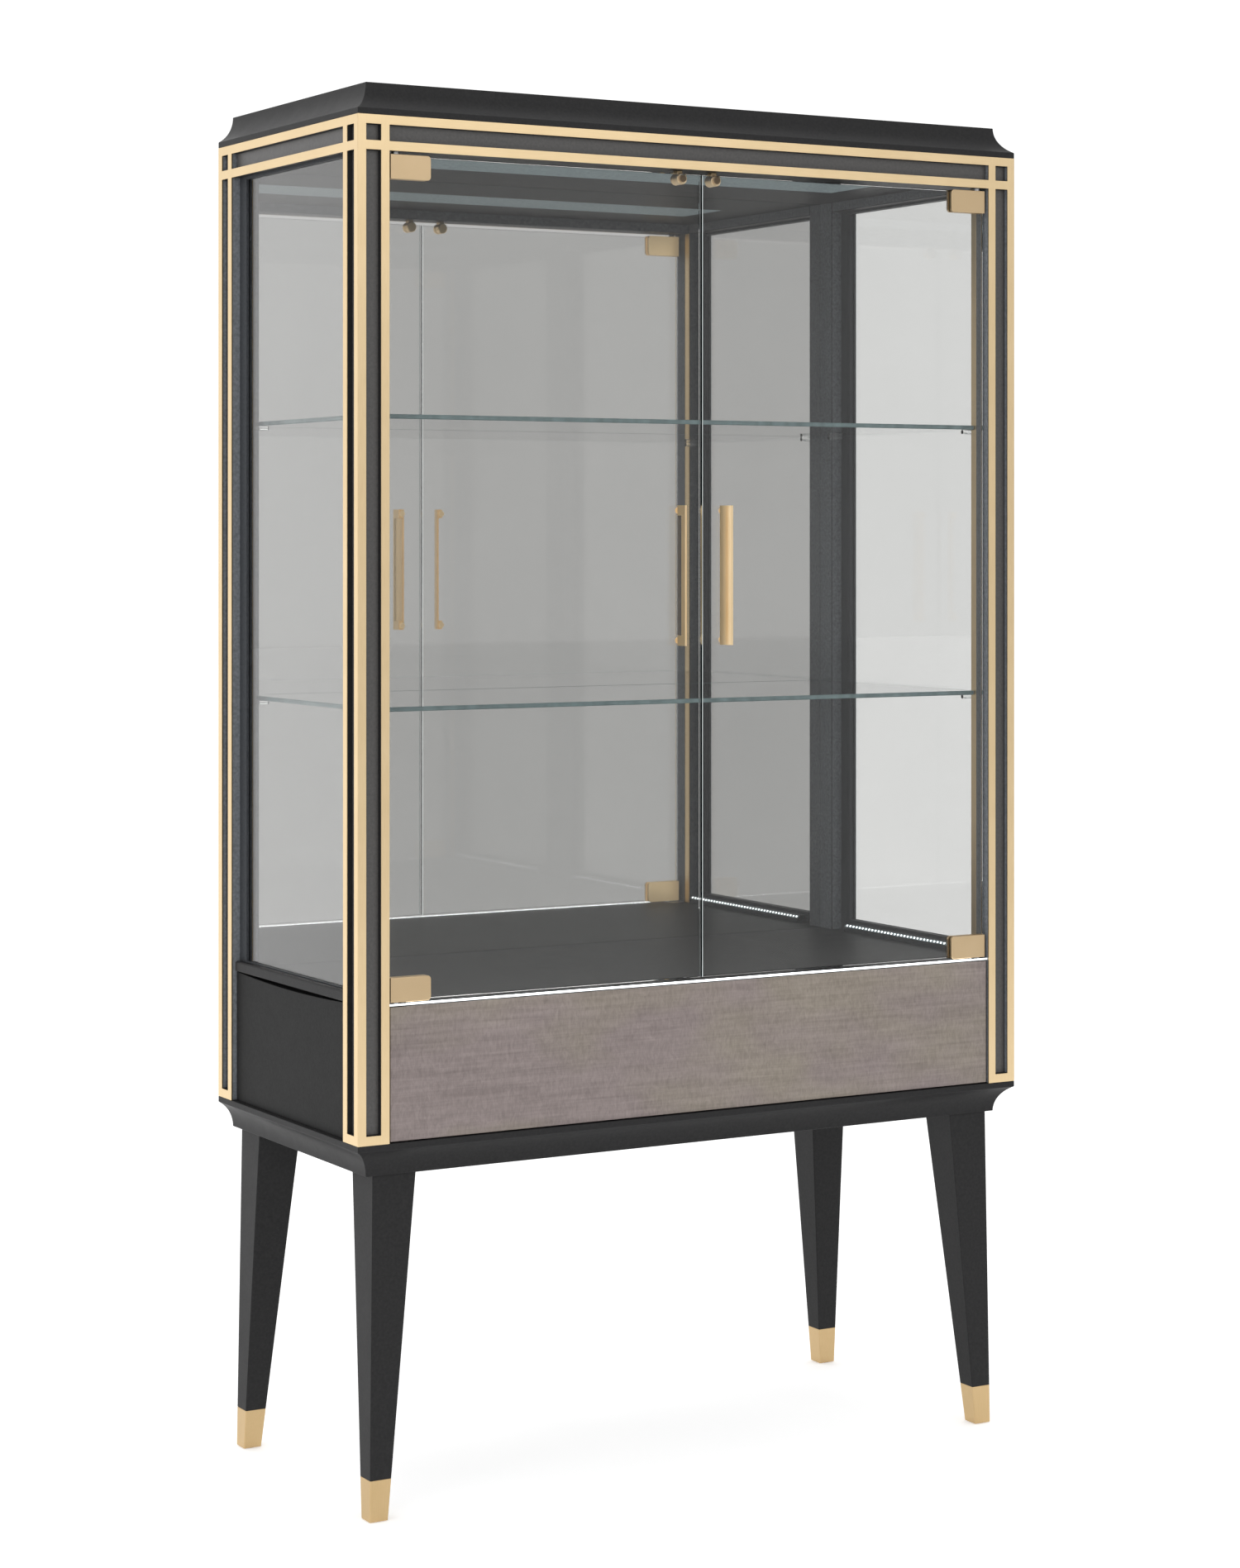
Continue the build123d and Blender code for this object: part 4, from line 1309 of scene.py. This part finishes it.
@dataclass
class Studio:
    """The floor, the soft light and the camera."""

    distance: float = 4.7012
    azimuth: float = -29.972
    eye_level: float = 1.2698
    lens: float = 76.595
    film: float = 36.0
    shift: tuple[float, float] = (-0.0011, -0.1594)
    floor_size: float = 60.0
    floor_fade: tuple[float, float] = (-5.0, -1.5)
    floor_near: Colour = (0.92, 0.92, 0.92)
    floor_far: Colour = (0.475, 0.475, 0.475)
    floor_glow: float = 0.40
    floor_mottle: float = 0.96
    front_light: float = 0.70
    back_light: float = 1.12
    light_turn: tuple[float, float] = (-0.35, 0.45)
    softboxes: tuple[SoftBox, ...] = (
        SoftBox("key_light", (-3.2, -2.6, 3.4), (0.0, 0.0, 0.9), 2.6, 2.6, 30.0),
        SoftBox("front_light", (1.6, -4.4, 3.6), (0.0, 0.0, 0.9), 3.0, 2.0, 30.0),
        SoftBox("top_light", (0.0, 0.0, 5.0), (0.0, 0.0, 0.0), 4.0, 4.0, 24.0),
    )

    def floor(self) -> None:
        """A wide pale floor that darkens far in front of the cabinet."""
        graph = Graph("pale studio floor")
        parts = graph.tree.nodes.new("ShaderNodeSeparateXYZ")
        graph.tree.links.new(graph.place, parts.inputs[0])
        nearness = graph.remap(parts.outputs["Y"], 0.0, 1.0, *self.floor_fade)
        mottle = graph.remap(graph.noise(3.0, 3.0), self.floor_mottle, 1.0)
        tone = graph.blend(graph.maths("MULTIPLY", nearness, mottle), self.floor_far, self.floor_near)
        graph.feed("Base Color", tone)
        graph.glow(tone, self.floor_glow)
        graph.value(Roughness=0.8, Specular_IOR_Level=0.2)
        data = bpy.data.meshes.new("studio_floor")
        half = self.floor_size / 2
        corners = [(-half, -half, 0), (half, -half, 0), (half, half, 0), (-half, half, 0)]
        data.from_pydata(corners, [], [(0, 1, 2, 3)])
        data.materials.append(graph.material)
        made = bpy.data.objects.new("studio_floor", data)
        bpy.context.scene.collection.objects.link(made)

    def surroundings(self) -> None:
        """White behind the cabinet, softer in front of it, as in a photographer's cove."""
        world = bpy.data.worlds.new("studio cove")
        bpy.context.scene.world = world
        world.use_nodes = True
        tree = world.node_tree
        way = tree.nodes.new("ShaderNodeTexCoord")
        parts = tree.nodes.new("ShaderNodeSeparateXYZ")
        level = tree.nodes.new("ShaderNodeMapRange")
        level.interpolation_type = "SMOOTHSTEP"
        names = ("From Min", "From Max", "To Min", "To Max")
        for name, number in zip(names, (*self.light_turn, self.front_light, self.back_light)):
            level.inputs[name].default_value = number
        tree.links.new(way.outputs["Generated"], parts.inputs[0])
        tree.links.new(parts.outputs["Y"], level.inputs["Value"])
        backdrop = tree.nodes["Background"]
        tree.links.new(level.outputs["Result"], backdrop.inputs["Strength"])
        backdrop.inputs["Color"].default_value = (1.0, 1.0, 1.0, 1.0)

    def camera(self) -> None:
        """A level camera, its picture shifted down to take in the legs."""
        data = bpy.data.cameras.new("camera")
        data.lens, data.sensor_width = self.lens, self.film
        data.shift_x, data.shift_y = self.shift
        made = bpy.data.objects.new("camera", data)
        low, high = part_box("top_moulding")
        turn = math.radians(self.azimuth)
        made.location = (
            (low.x + high.x) / 2 + self.distance * math.sin(turn),
            (low.y + high.y) / 2 - self.distance * math.cos(turn),
            self.eye_level,
        )
        made.rotation_euler = (math.pi / 2, 0.0, turn)
        bpy.context.scene.collection.objects.link(made)
        bpy.context.scene.camera = made

    def build(self) -> None:
        """Set the stage."""
        bpy.context.scene.view_settings.view_transform = "Standard"
        self.floor()
        self.surroundings()
        for softbox in self.softboxes:
            softbox.build()
        self.camera()


def main() -> None:
    """Build every sub-assembly, then the studio."""
    logging.basicConfig(level=logging.INFO, format="%(name)s: %(message)s")
    parts = [
        Moulding("top_moulding", "top_board", wide_on_top=False),
        Moulding("bottom_moulding", "base_board", wide_on_top=True),
        BrassLattice(),
        PostsAndRails(),
        Legs(),
        GlazedSides(),
        Interior(),
        Catches(),
        GlassDoor("left"),
        GlassDoor("right"),
        Drawer(),
        Studio(),
    ]
    for part in parts:
        part.build()


if __name__ == "__main__":
    main()
